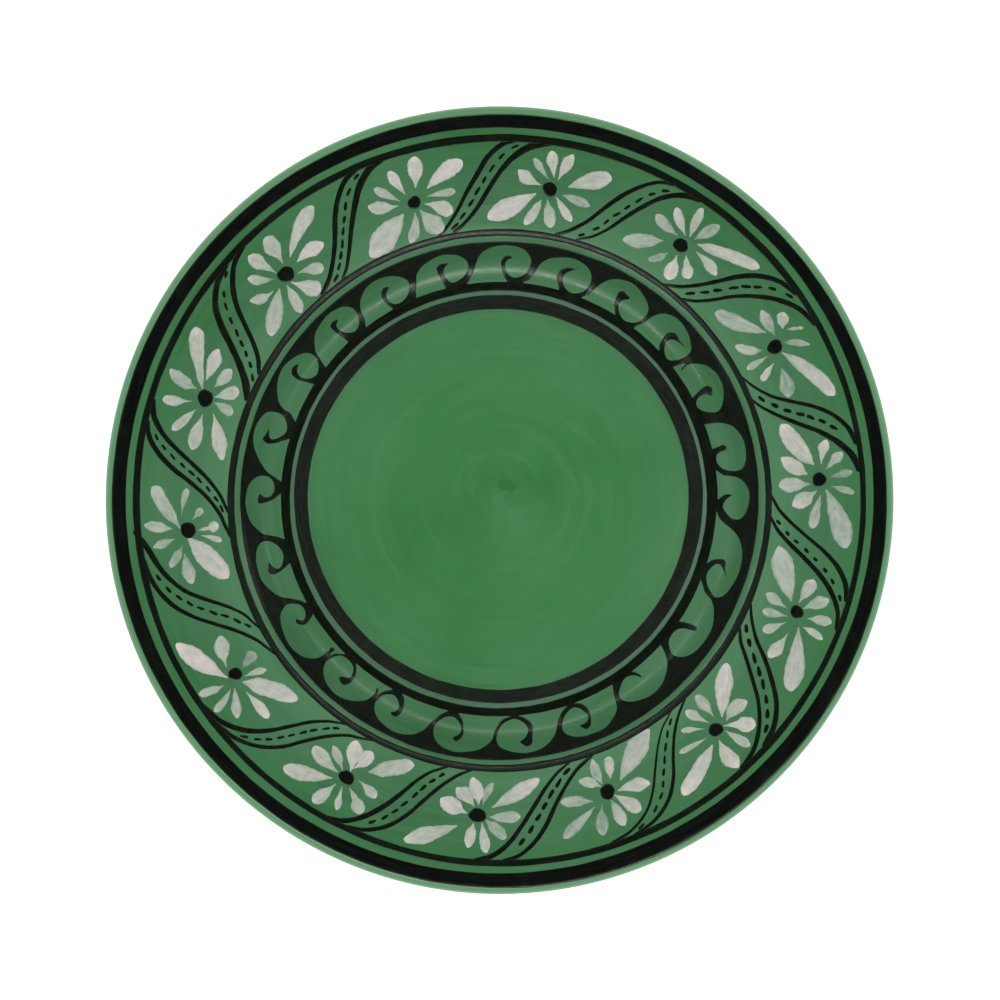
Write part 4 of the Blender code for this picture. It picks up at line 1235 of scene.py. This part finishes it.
# ---------------------------------------------------------------------------------
# Flowers
# ---------------------------------------------------------------------------------
# A paragraph for each flower and a line for each petal, which is one press of the brush: the
# angle and radius of its root and of its tip, how far it bows, and its width near the root,
# at a third, at two thirds and near the tip.
PETALS = number_table("""
1.1 112.4 352.1 119.9 0.8 3.3 5.9 7.4 6.3
2.3 114.8 1.3 121.7 -0.1 1.3 2.2 2.5 2.3
4.1 114.5 4.7 121.3 0.0 1.5 2.3 3.1 2.5
5.7 113.1 8.0 118.6 0.1 1.5 2.2 3.8 3.4
7.1 111.5 10.5 114.0 0.5 1.6 2.5 4.0 3.0
6.9 107.9 15.1 99.9 0.5 3.9 5.9 6.3 5.5
5.3 104.7 8.6 97.6 0.2 3.9 5.2 4.9 3.6
3.0 105.3 3.0 95.9 0.0 2.3 4.6 5.3 4.6
1.4 107.8 358.9 100.4 0.2 2.2 4.9 5.5 4.6
0.3 109.8 354.8 107.7 -0.2 1.8 2.7 3.7 3.6

27.0 109.8 17.4 120.5 0.9 2.8 4.6 5.3 4.7
28.8 112.1 26.6 118.9 0.4 1.8 2.4 2.5 1.5
30.6 115.2 29.6 119.8 0.0 0.9 1.2 1.0 1.5
31.8 114.4 33.4 116.9 0.3 3.5 4.1 4.4 3.5
31.8 110.2 36.0 111.0 0.2 2.6 3.9 4.0 3.2
32.7 107.4 41.1 98.0 0.7 2.6 4.3 5.6 4.8
30.1 102.8 33.3 96.7 0.8 2.2 3.4 3.2 2.7
28.2 103.3 27.9 96.0 0.0 1.1 1.8 2.6 2.4
26.1 103.8 24.4 98.9 -0.2 1.4 2.3 2.5 2.7
24.7 106.5 19.6 105.1 0.5 2.3 4.3 5.6 4.8

51.6 111.3 41.8 119.6 0.3 3.2 4.1 4.3 4.1
52.9 113.1 51.3 120.7 0.0 2.7 4.1 4.2 3.4
54.3 112.8 55.1 121.9 0.3 2.2 3.1 3.5 2.8
55.6 111.9 58.9 117.2 0.3 1.9 3.1 3.7 2.8
56.8 109.6 61.3 111.6 0.3 1.8 3.4 4.0 3.5
58.2 104.8 64.7 98.8 0.2 2.5 4.7 5.2 3.8
56.3 101.6 58.4 97.1 0.7 2.3 2.8 2.4 1.9
53.9 102.5 52.7 95.1 0.1 1.7 4.1 4.9 4.3
52.2 104.7 49.4 100.1 -0.3 2.0 2.5 4.2 4.3
51.1 108.4 46.0 107.2 0.5 1.4 2.7 4.0 3.3

77.2 110.2 70.7 116.6 0.6 2.7 4.9 6.2 5.7
79.4 113.0 78.0 121.2 0.1 1.7 3.5 4.1 3.3
80.5 113.1 81.5 121.1 0.1 1.5 2.7 4.2 3.9
81.9 112.3 84.3 117.7 -0.1 1.3 2.0 2.9 2.2
83.0 109.5 86.8 113.4 0.7 1.6 3.6 4.8 3.4
83.6 105.4 92.4 96.6 -0.1 2.7 5.5 7.1 5.2
82.4 103.0 84.8 94.8 0.3 2.4 3.2 3.5 3.3
80.8 103.3 79.3 95.1 0.0 2.0 3.8 4.2 3.9
78.9 104.8 75.5 98.7 -0.2 1.7 2.7 3.0 2.5
77.7 106.6 72.9 105.6 0.1 2.1 3.0 3.4 2.9

102.5 110.3 96.3 117.2 0.6 2.7 4.6 5.8 5.1
104.9 112.3 103.9 121.4 -0.1 2.3 4.6 5.5 5.3
107.3 110.8 108.6 119.0 0.2 1.6 2.6 4.0 3.1
109.0 109.1 112.0 115.0 0.0 1.4 2.4 3.4 2.7
109.7 107.3 114.1 110.5 0.7 1.8 3.9 4.7 4.2
109.0 103.0 118.0 94.5 0.0 4.3 7.4 8.9 5.6
106.8 101.7 109.2 93.5 1.0 1.9 2.9 3.8 3.8
105.0 102.3 101.9 94.0 -0.4 2.5 5.3 6.9 5.3
103.6 104.1 99.3 99.8 0.7 1.8 3.8 5.2 5.0
102.6 107.0 98.1 106.9 0.2 1.4 2.2 2.7 3.0

130.2 110.5 122.3 119.3 1.2 2.3 3.5 5.1 5.6
132.4 111.4 132.0 120.7 -0.5 1.7 4.7 6.1 5.3
134.7 110.8 135.9 120.1 0.0 1.8 3.2 5.2 4.7
136.0 109.2 138.7 115.1 0.5 1.5 2.6 3.6 3.2
137.9 106.3 141.4 109.6 0.9 1.3 3.3 3.7 2.3
136.5 104.2 144.3 96.4 -0.1 2.8 5.0 5.8 4.6
134.9 102.6 136.5 93.5 0.1 2.1 3.5 4.1 3.3
133.3 102.2 130.4 94.5 -0.1 1.9 3.9 5.6 5.9
131.0 103.4 127.2 99.7 0.6 1.5 3.0 4.3 4.2
129.9 107.1 124.4 106.8 0.7 2.1 3.8 5.4 4.1

158.9 109.3 150.3 119.9 0.4 2.5 3.2 5.1 5.8
159.6 111.6 158.2 121.5 0.9 2.2 4.4 4.4 3.2
162.3 112.2 163.3 120.6 0.3 1.0 2.8 3.8 3.4
164.0 109.5 167.9 114.8 0.1 1.8 2.9 3.4 3.0
164.7 106.0 170.7 107.0 -0.1 1.8 4.0 5.0 4.2
164.0 101.8 171.8 96.1 0.2 2.0 4.4 5.5 3.0
161.2 102.2 161.9 96.1 0.0 2.0 3.2 3.9 3.4
159.7 102.8 157.3 96.8 0.0 2.2 3.9 4.8 4.4
157.8 104.7 154.0 102.2 -0.1 2.4 3.8 4.3 3.6
157.0 108.7 151.7 109.3 -0.1 2.5 4.0 5.0 4.1

184.8 110.0 177.7 119.0 0.4 1.6 4.2 4.8 4.8
184.8 114.2 183.9 122.1 0.2 2.5 3.8 3.8 3.0
186.9 112.8 187.8 119.7 0.0 1.2 2.6 3.3 2.2
188.7 110.5 191.6 115.1 0.0 1.7 3.2 3.1 2.7
190.2 109.5 195.2 109.2 -0.2 2.2 4.0 4.8 3.3
187.1 107.2 196.0 96.8 -0.1 3.5 6.6 7.4 6.2
187.1 101.6 188.4 96.3 0.3 1.1 1.7 2.0 2.1
185.6 102.7 185.1 96.7 -0.1 1.3 1.4 3.6 3.7
183.2 104.6 181.7 101.9 0.1 1.0 2.2 2.8 2.8
182.0 108.9 177.8 107.3 0.2 0.8 1.6 2.4 2.6

212.4 112.0 203.9 121.3 0.6 2.7 5.8 6.7 5.2
213.8 114.5 212.8 122.7 0.3 1.1 2.8 3.0 3.2
215.2 113.6 216.5 121.7 0.6 1.2 2.2 2.8 2.7
215.8 111.9 219.7 117.1 0.1 1.6 2.6 3.7 2.9
217.5 109.0 223.3 109.0 0.3 1.0 2.6 3.6 3.3
215.7 107.3 224.7 97.4 0.6 3.8 5.9 6.0 4.3
214.9 104.6 216.0 98.8 0.2 1.6 2.2 2.6 2.4
212.9 104.4 211.8 98.9 0.0 2.3 2.9 4.3 4.7
210.7 109.2 205.9 106.3 0.4 1.5 4.6 5.4 4.3

238.2 111.7 231.0 117.9 0.5 2.5 4.6 5.5 4.7
239.7 113.8 238.2 121.7 0.2 1.8 3.6 4.8 4.1
241.3 113.0 242.2 120.0 0.0 1.0 1.5 2.7 2.3
243.0 112.3 246.0 117.9 0.5 1.7 2.5 4.7 4.5
243.8 107.9 247.4 110.7 0.3 0.9 2.3 3.9 3.3
244.7 103.0 252.2 95.4 0.1 3.2 5.4 5.4 5.3
241.3 104.1 243.1 96.7 -0.9 1.1 3.3 4.5 4.9
241.0 105.1 239.2 95.9 -0.2 1.9 4.4 6.1 4.5
239.4 106.5 235.8 101.8 -0.2 1.1 2.8 3.3 3.0
238.5 108.0 233.0 105.4 0.7 2.1 4.1 5.3 4.6

261.8 113.1 254.2 120.8 0.4 3.0 4.6 5.9 4.2
265.3 112.0 264.7 119.6 0.0 2.2 3.8 3.7 3.0
267.0 112.0 267.9 121.0 -0.1 1.7 3.0 3.7 3.2
267.8 110.2 271.1 116.0 0.1 2.0 3.9 4.2 3.2
268.9 108.6 273.8 108.7 -0.2 2.5 3.6 4.3 3.8
269.2 104.7 278.1 96.5 -0.3 2.5 4.7 5.3 3.7
267.1 103.6 268.8 97.0 0.5 1.6 2.3 2.8 2.2
265.9 103.8 264.4 95.5 -0.5 2.3 4.7 4.6 4.1
264.8 104.6 261.4 99.7 -0.5 2.2 4.0 5.3 3.6
263.6 107.5 258.8 104.1 0.3 2.1 5.4 6.0 5.7

286.8 110.5 280.7 117.9 0.1 1.6 2.9 4.0 4.0
288.5 110.9 287.2 120.3 -0.3 1.1 3.7 4.6 4.1
290.5 110.7 291.1 119.5 0.0 2.1 3.6 4.4 3.7
291.7 109.4 294.6 116.8 0.0 2.1 3.6 5.2 4.4
292.8 107.8 298.0 110.0 0.6 2.3 3.8 5.2 3.4
293.8 104.0 303.2 93.9 0.4 3.2 6.3 7.8 4.5
292.0 101.5 293.2 95.6 0.2 2.2 3.4 3.4 3.3
289.9 102.4 289.7 94.4 0.5 2.2 3.6 3.5 2.2
289.0 103.6 285.7 100.0 -0.4 1.9 3.7 3.6 3.2
286.6 107.9 281.4 105.8 -0.3 1.8 3.6 4.0 3.5

310.6 111.5 301.9 119.2 0.3 3.0 5.0 5.4 4.8
312.4 112.6 311.8 122.9 -0.8 2.2 4.7 5.7 5.3
314.6 111.9 315.6 120.3 -0.1 1.6 2.7 3.4 3.4
315.3 110.0 318.7 116.9 0.4 1.4 2.8 5.4 5.2
316.5 108.5 321.0 109.3 1.1 2.8 4.6 5.1 4.4
316.3 105.6 324.4 95.8 0.3 3.3 5.1 6.4 4.3
314.7 103.3 315.0 94.9 -0.3 1.3 3.3 4.3 3.7
313.0 103.7 311.4 96.4 0.1 1.2 2.1 3.7 3.1
311.3 104.5 308.2 100.6 -0.1 0.7 1.5 2.1 2.0
310.6 107.9 305.4 106.4 0.1 0.8 1.6 2.1 2.0

336.2 111.8 326.7 119.4 0.5 2.7 4.9 6.7 6.6
337.2 113.7 336.6 120.6 0.4 1.6 2.5 2.6 2.2
339.1 114.5 339.7 121.3 0.3 1.9 3.3 3.7 2.9
340.8 111.7 343.2 118.0 0.2 2.0 3.8 4.6 3.7
341.9 108.9 345.8 111.3 0.0 2.0 3.8 4.7 4.3
341.4 105.3 350.7 97.0 0.2 3.6 6.4 8.0 6.9
339.6 103.7 340.7 96.8 0.0 1.4 3.2 3.9 3.4
337.9 104.8 337.2 97.8 0.1 1.5 2.6 3.4 2.8
336.3 105.6 333.5 100.9 0.0 1.3 2.5 3.5 3.3
334.6 108.6 329.7 106.9 0.3 1.1 3.2 4.7 3.5
""")

# The slip a petal holds, in hundredths: for the narrowest, for each millimetre of width, and
# what gathers at the tip.
LOAD_NARROW, LOAD_WIDE, LOAD_TIP = 30, 5, 7

# Eyes, by number, that the brush left broader along the rim than across it.
EYE_WIDE = {1: 1.08, 7: 1.07, 10: 1.07, 11: 1.06}


def paint_petal(layer, row, load, tip_load, seed, rng):
    """Paints one petal and returns how much slip there is at each of its points."""
    root_angle, root_r, tip_angle, tip_r, bow, w0, w1, w2, w3 = row
    start, end = at(root_angle, root_r), at(tip_angle, tip_r)
    span = np.linalg.norm(end - start)
    # The brush left the eye in a fine point, and it lifted off in a blunt, a round or a
    # sharp end.
    tail = rng.uniform(0.9, 1.7)
    start = start - (end - start) / span * tail
    span += tail
    side = np.array([-(end - start)[1], (end - start)[0]]) / span
    q = (1 - np.cos(np.linspace(0, np.pi, 34))) / 2
    path = start + (end - start) * q[:, None] + side * (bow * 4 * q * (1 - q))[:, None]

    def past_tail(share):
        return (tail + share * (span - tail)) / span

    knots = spline([
        (0.0, 0.16 * w0), (0.55 * past_tail(0.10), 0.50 * w0), (past_tail(0.12), w0),
        (past_tail(0.35), w1), (past_tail(0.60), w2), (past_tail(0.85), w3),
        (1.0, 0.80 * w3)], 10)
    width = np.interp(q, knots[:, 0], knots[:, 1])
    cap = min(0.30, 0.55 * w3 / span + 0.07)
    tip = np.clip((q - 1 + cap) / cap, 0, 1)
    power = rng.choice([1.25, 1.7, 2.1, 2.4, 2.8])
    root = rng.choice([0.5, 0.5, 0.62])
    half = 0.5 * width * np.clip(1 - tip ** power, 0, 1) ** root
    lean = rng.uniform(-0.35, 0.35) * tip

    def ripple(fast):
        return (1 + 0.035 * np.sin(q * rng.uniform(9, 17) + rng.uniform(0, 6))
                + 0.03 * np.sin(q * fast + rng.uniform(0, 6)))

    sides = [half * (ripple(40) + lean), half * (ripple(43) - lean)]
    half = np.maximum(np.stack(sides, -1), 0.02)
    layer.line(path, half, 0.06 + 0.0008 * load, seed, across=11)
    # The line has just added its top and its underside.
    share = np.concatenate(layer.stroke[-2:])[:, 2]
    return (load + (tip_load - load) * np.clip((share - 0.35) / 0.5, 0, 1)) * 0.01


def build_petals(number, rows, rng, brush):
    layer = Layer()
    loads = []
    for i, row in enumerate(rows):
        # A full brush leaves a broad petal, so a broad petal holds more slip than a narrow
        # one, and most of it gathers towards the tip.
        load = brush.normal(LOAD_NARROW + LOAD_WIDE * max(row[5:]), 15)
        load = float(np.clip(load, 4, 88))
        tip_load = float(np.clip(load + brush.normal(LOAD_TIP, 9), 8, 92))
        seed = (number - 1) * 3.17 + i * 0.73
        loads.append(paint_petal(layer, row, load, tip_load, seed, rng))
    layer.build("flower_%02d" % number, WHITE_LOOK, "white_slip", load=np.concatenate(loads))


def build_eye(number, rng):
    """The eye stands where the part has it."""
    node = "flower_eye_%02d" % number
    low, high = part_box(node)
    centre = np.array([low[0] + high[0], low[1] + high[1]]) / 2 / MM
    radius = (high[0] - low[0]) / 2 / MM
    phi = np.linspace(0, TURN, 44, endpoint=False)
    size = radius * (1 + 0.06 * np.sin(2 * phi + rng.uniform(0, 6))
                     + 0.035 * np.sin(3 * phi + rng.uniform(0, 6))
                     + 0.02 * np.sin(5 * phi + rng.uniform(0, 6)))
    outward = centre / np.hypot(*centre)
    along = np.array([-outward[1], outward[0]])
    wide = EYE_WIDE.get(number, 1.0)
    loop = (centre + np.outer(size * np.cos(phi) / wide, outward)
            + np.outer(size * np.sin(phi) * wide, along))
    layer = Layer()
    layer.patch([loop], spacing=0.55, dome=0.16, seed=(number - 1) * 0.9, edge=0.5)
    layer.build(node, EYE_LOOK)


def build_flowers():
    rng, brush = np.random.default_rng(31), np.random.default_rng(8)
    for number, rows in enumerate(PETALS, 1):
        build_petals(number, rows, rng, brush)
        build_eye(number, rng)


# ---------------------------------------------------------------------------------
# Floor, light and camera
# ---------------------------------------------------------------------------------
FLOOR_HALF = 9.0               # metres
FLOOR_DROP = 0.0001            # metres below the plate's foot
FLOOR_OPEN_R = 72.5            # inside this radius the floor is open

DOME_LIGHT = 0.955             # radiance of the soft light
# Height of the direction seen against how bright the room is there.
ROOM = ((0.0, 0.60), (0.10, 0.22), (0.30, 0.08), (0.55, 0.10), (0.69, 0.26), (0.80, 0.12),
        (0.90, 0.06), (0.95, 0.03), (1.0, 0.05))

# Narrow softboxes stand in two arcs, over the top and over the bottom of the plate.  Each
# arc is mirrored in the wall of the well as one thin curved line, and a few small boxes
# that stand lower are mirrored further up the wall, past the ends of the lines.
BOX_FAR = 1.15                 # metres from the plate
BOXES = (
    # name, azimuth, elevation, half width in degrees, height of the box in metres, radiance
    ("far_1", 16.0, 28.0, 9.0, 0.050, 3.0), ("far_2", 49.0, 42.0, 12.0, 0.034, 7.2),
    ("far_3", 73.0, 42.0, 12.0, 0.034, 6.6), ("far_4", 97.0, 42.0, 12.0, 0.034, 6.6),
    ("far_5", 121.0, 42.0, 12.0, 0.034, 7.0), ("far_6", 143.0, 38.5, 8.0, 0.030, 7.0),
    ("far_7", 163.0, 36.0, 3.0, 0.026, 8.0),
    ("near_1", 214.0, 33.0, 3.0, 0.028, 13.0), ("near_2", 233.5, 42.6, 12.0, 0.060, 7.0),
    ("near_3", 257.5, 43.0, 12.0, 0.085, 8.0), ("near_4", 281.5, 43.0, 12.0, 0.085, 8.0),
    ("near_5", 305.5, 42.6, 12.0, 0.060, 6.0), ("near_6", 326.0, 42.0, 8.0, 0.040, 3.0),
)

CAMERA_HEIGHT = 4.0            # metres
SENSOR_WIDTH = 36.0
PLATE_SHARE = 0.394            # the lip's radius as a share of the picture's width


def floor_look():
    nodes = new_material("pale_floor")
    # Straight from above the floor is a bright white sweep; from a low angle it keeps its
    # shadow.
    down = nodes.separate(nodes.value("NewGeometry", "Incoming"))[2]
    glow = abs(down).eased(low=0.90, high=0.99, to=(0.13, 0.55))
    solid = nodes.principled(
        (0.90, 0.90, 0.895), 0.75, specular=0.2,
        **{"Emission Color": (1.0, 1.0, 1.0), "Emission Strength": glow})
    # Seen from below, the floor is not there, so that the underside can be looked at.
    # Inside the foot ring it is open to the light as well, and it lets through some of
    # the light that the back of the rim collects.
    geometry = nodes.node("NewGeometry", {})
    position = Signal(nodes, geometry.outputs["Position"])
    behind = Signal(nodes, geometry.outputs["Backfacing"])
    spot = nodes.vector("MULTIPLY", position, (1.0, 1.0, 0.0))
    inside = nodes.vector("LENGTH", spot) < FLOOR_OPEN_R * MM
    soft = nodes.value("LightPath", "Is Diffuse Ray") * 0.45
    clear = nodes.math("MAXIMUM", behind, nodes.math("MAXIMUM", inside, soft))
    both = nodes.value("MixShader", 0, {0: clear, 1: solid, 2: nodes.value("BsdfTransparent")})
    nodes.node("OutputMaterial", {0: both})
    return nodes.owner


def build_floor():
    mesh = bpy.data.meshes.new("floor")
    corners = [(x * FLOOR_HALF, y * FLOOR_HALF, 0)
               for x, y in ((-1, -1), (1, -1), (1, 1), (-1, 1))]
    mesh.from_pydata(corners, [], [(0, 1, 2, 3)])
    floor = bpy.data.objects.new("floor", mesh)
    floor.location.z = -FLOOR_DROP
    bpy.context.scene.collection.objects.link(floor)
    mesh.materials.append(floor_look())


def build_world():
    """A bright dome gives the soft light.  Reflections see a darker room."""
    world = bpy.data.worlds.new("studio")
    nodes = Nodes(world)
    world.cycles.sampling_method = "NONE"
    bpy.context.scene.world = world
    height = nodes.separate(nodes.value("TexCoord", "Generated"))[2]
    room = nodes.ramp(height, [(place, (value,) * 3) for place, value in ROOM], "EASE")
    glossy = nodes.value("LightPath", "Is Glossy Ray")
    light = nodes.blend((DOME_LIGHT,) * 3, room, glossy)
    nodes.node("OutputWorld", {0: nodes.value("Background", 0, {"Color": light, "Strength": 1.0})})


def build_softbox(name, azimuth, elevation, half, tall, radiance):
    turn, up = math.radians(azimuth), math.radians(elevation)
    flat = BOX_FAR * math.cos(up)
    data = bpy.data.lights.new("box_" + name, "AREA")
    data.shape = "RECTANGLE"
    data.size = 2 * flat * math.tan(math.radians(half))
    data.size_y = tall
    data.energy = radiance * math.pi * data.size * data.size_y
    data.color = (1.0, 0.99, 0.97)
    lamp = bpy.data.objects.new(data.name, data)
    lamp.location = (flat * math.cos(turn), flat * math.sin(turn), BOX_FAR * math.sin(up))
    lamp.rotation_euler = (-Vector(lamp.location)).to_track_quat("-Z", "Y").to_euler()
    lamp.visible_camera = False
    bpy.context.scene.collection.objects.link(lamp)


def build_camera():
    """Looks straight down; the lens is set by the widest circle of the lip."""
    data = bpy.data.cameras.new("camera")
    data.sensor_width = SENSOR_WIDTH
    distance = CAMERA_HEIGHT - (CROWN_Z - LIP_DROP) * MM
    data.lens = SENSOR_WIDTH * PLATE_SHARE * distance / ((CROWN_R + LIP_OUT) * MM)
    data.clip_start, data.clip_end = 0.1, 50.0
    camera = bpy.data.objects.new("camera", data)
    camera.location = (0.00014, 0.00007, CAMERA_HEIGHT)
    bpy.context.scene.collection.objects.link(camera)
    bpy.context.scene.camera = camera
    bpy.context.scene.view_settings.view_transform = "Standard"


build_face_glaze()
build_back_glaze()
build_foot_well_glaze()
build_foot_ring()
build_clay_body()
for band in BANDS:
    build_band(*band)
build_frieze()
build_ribbons()
build_flowers()
build_floor()
build_world()
for box in BOXES:
    build_softbox(*box)
build_camera()
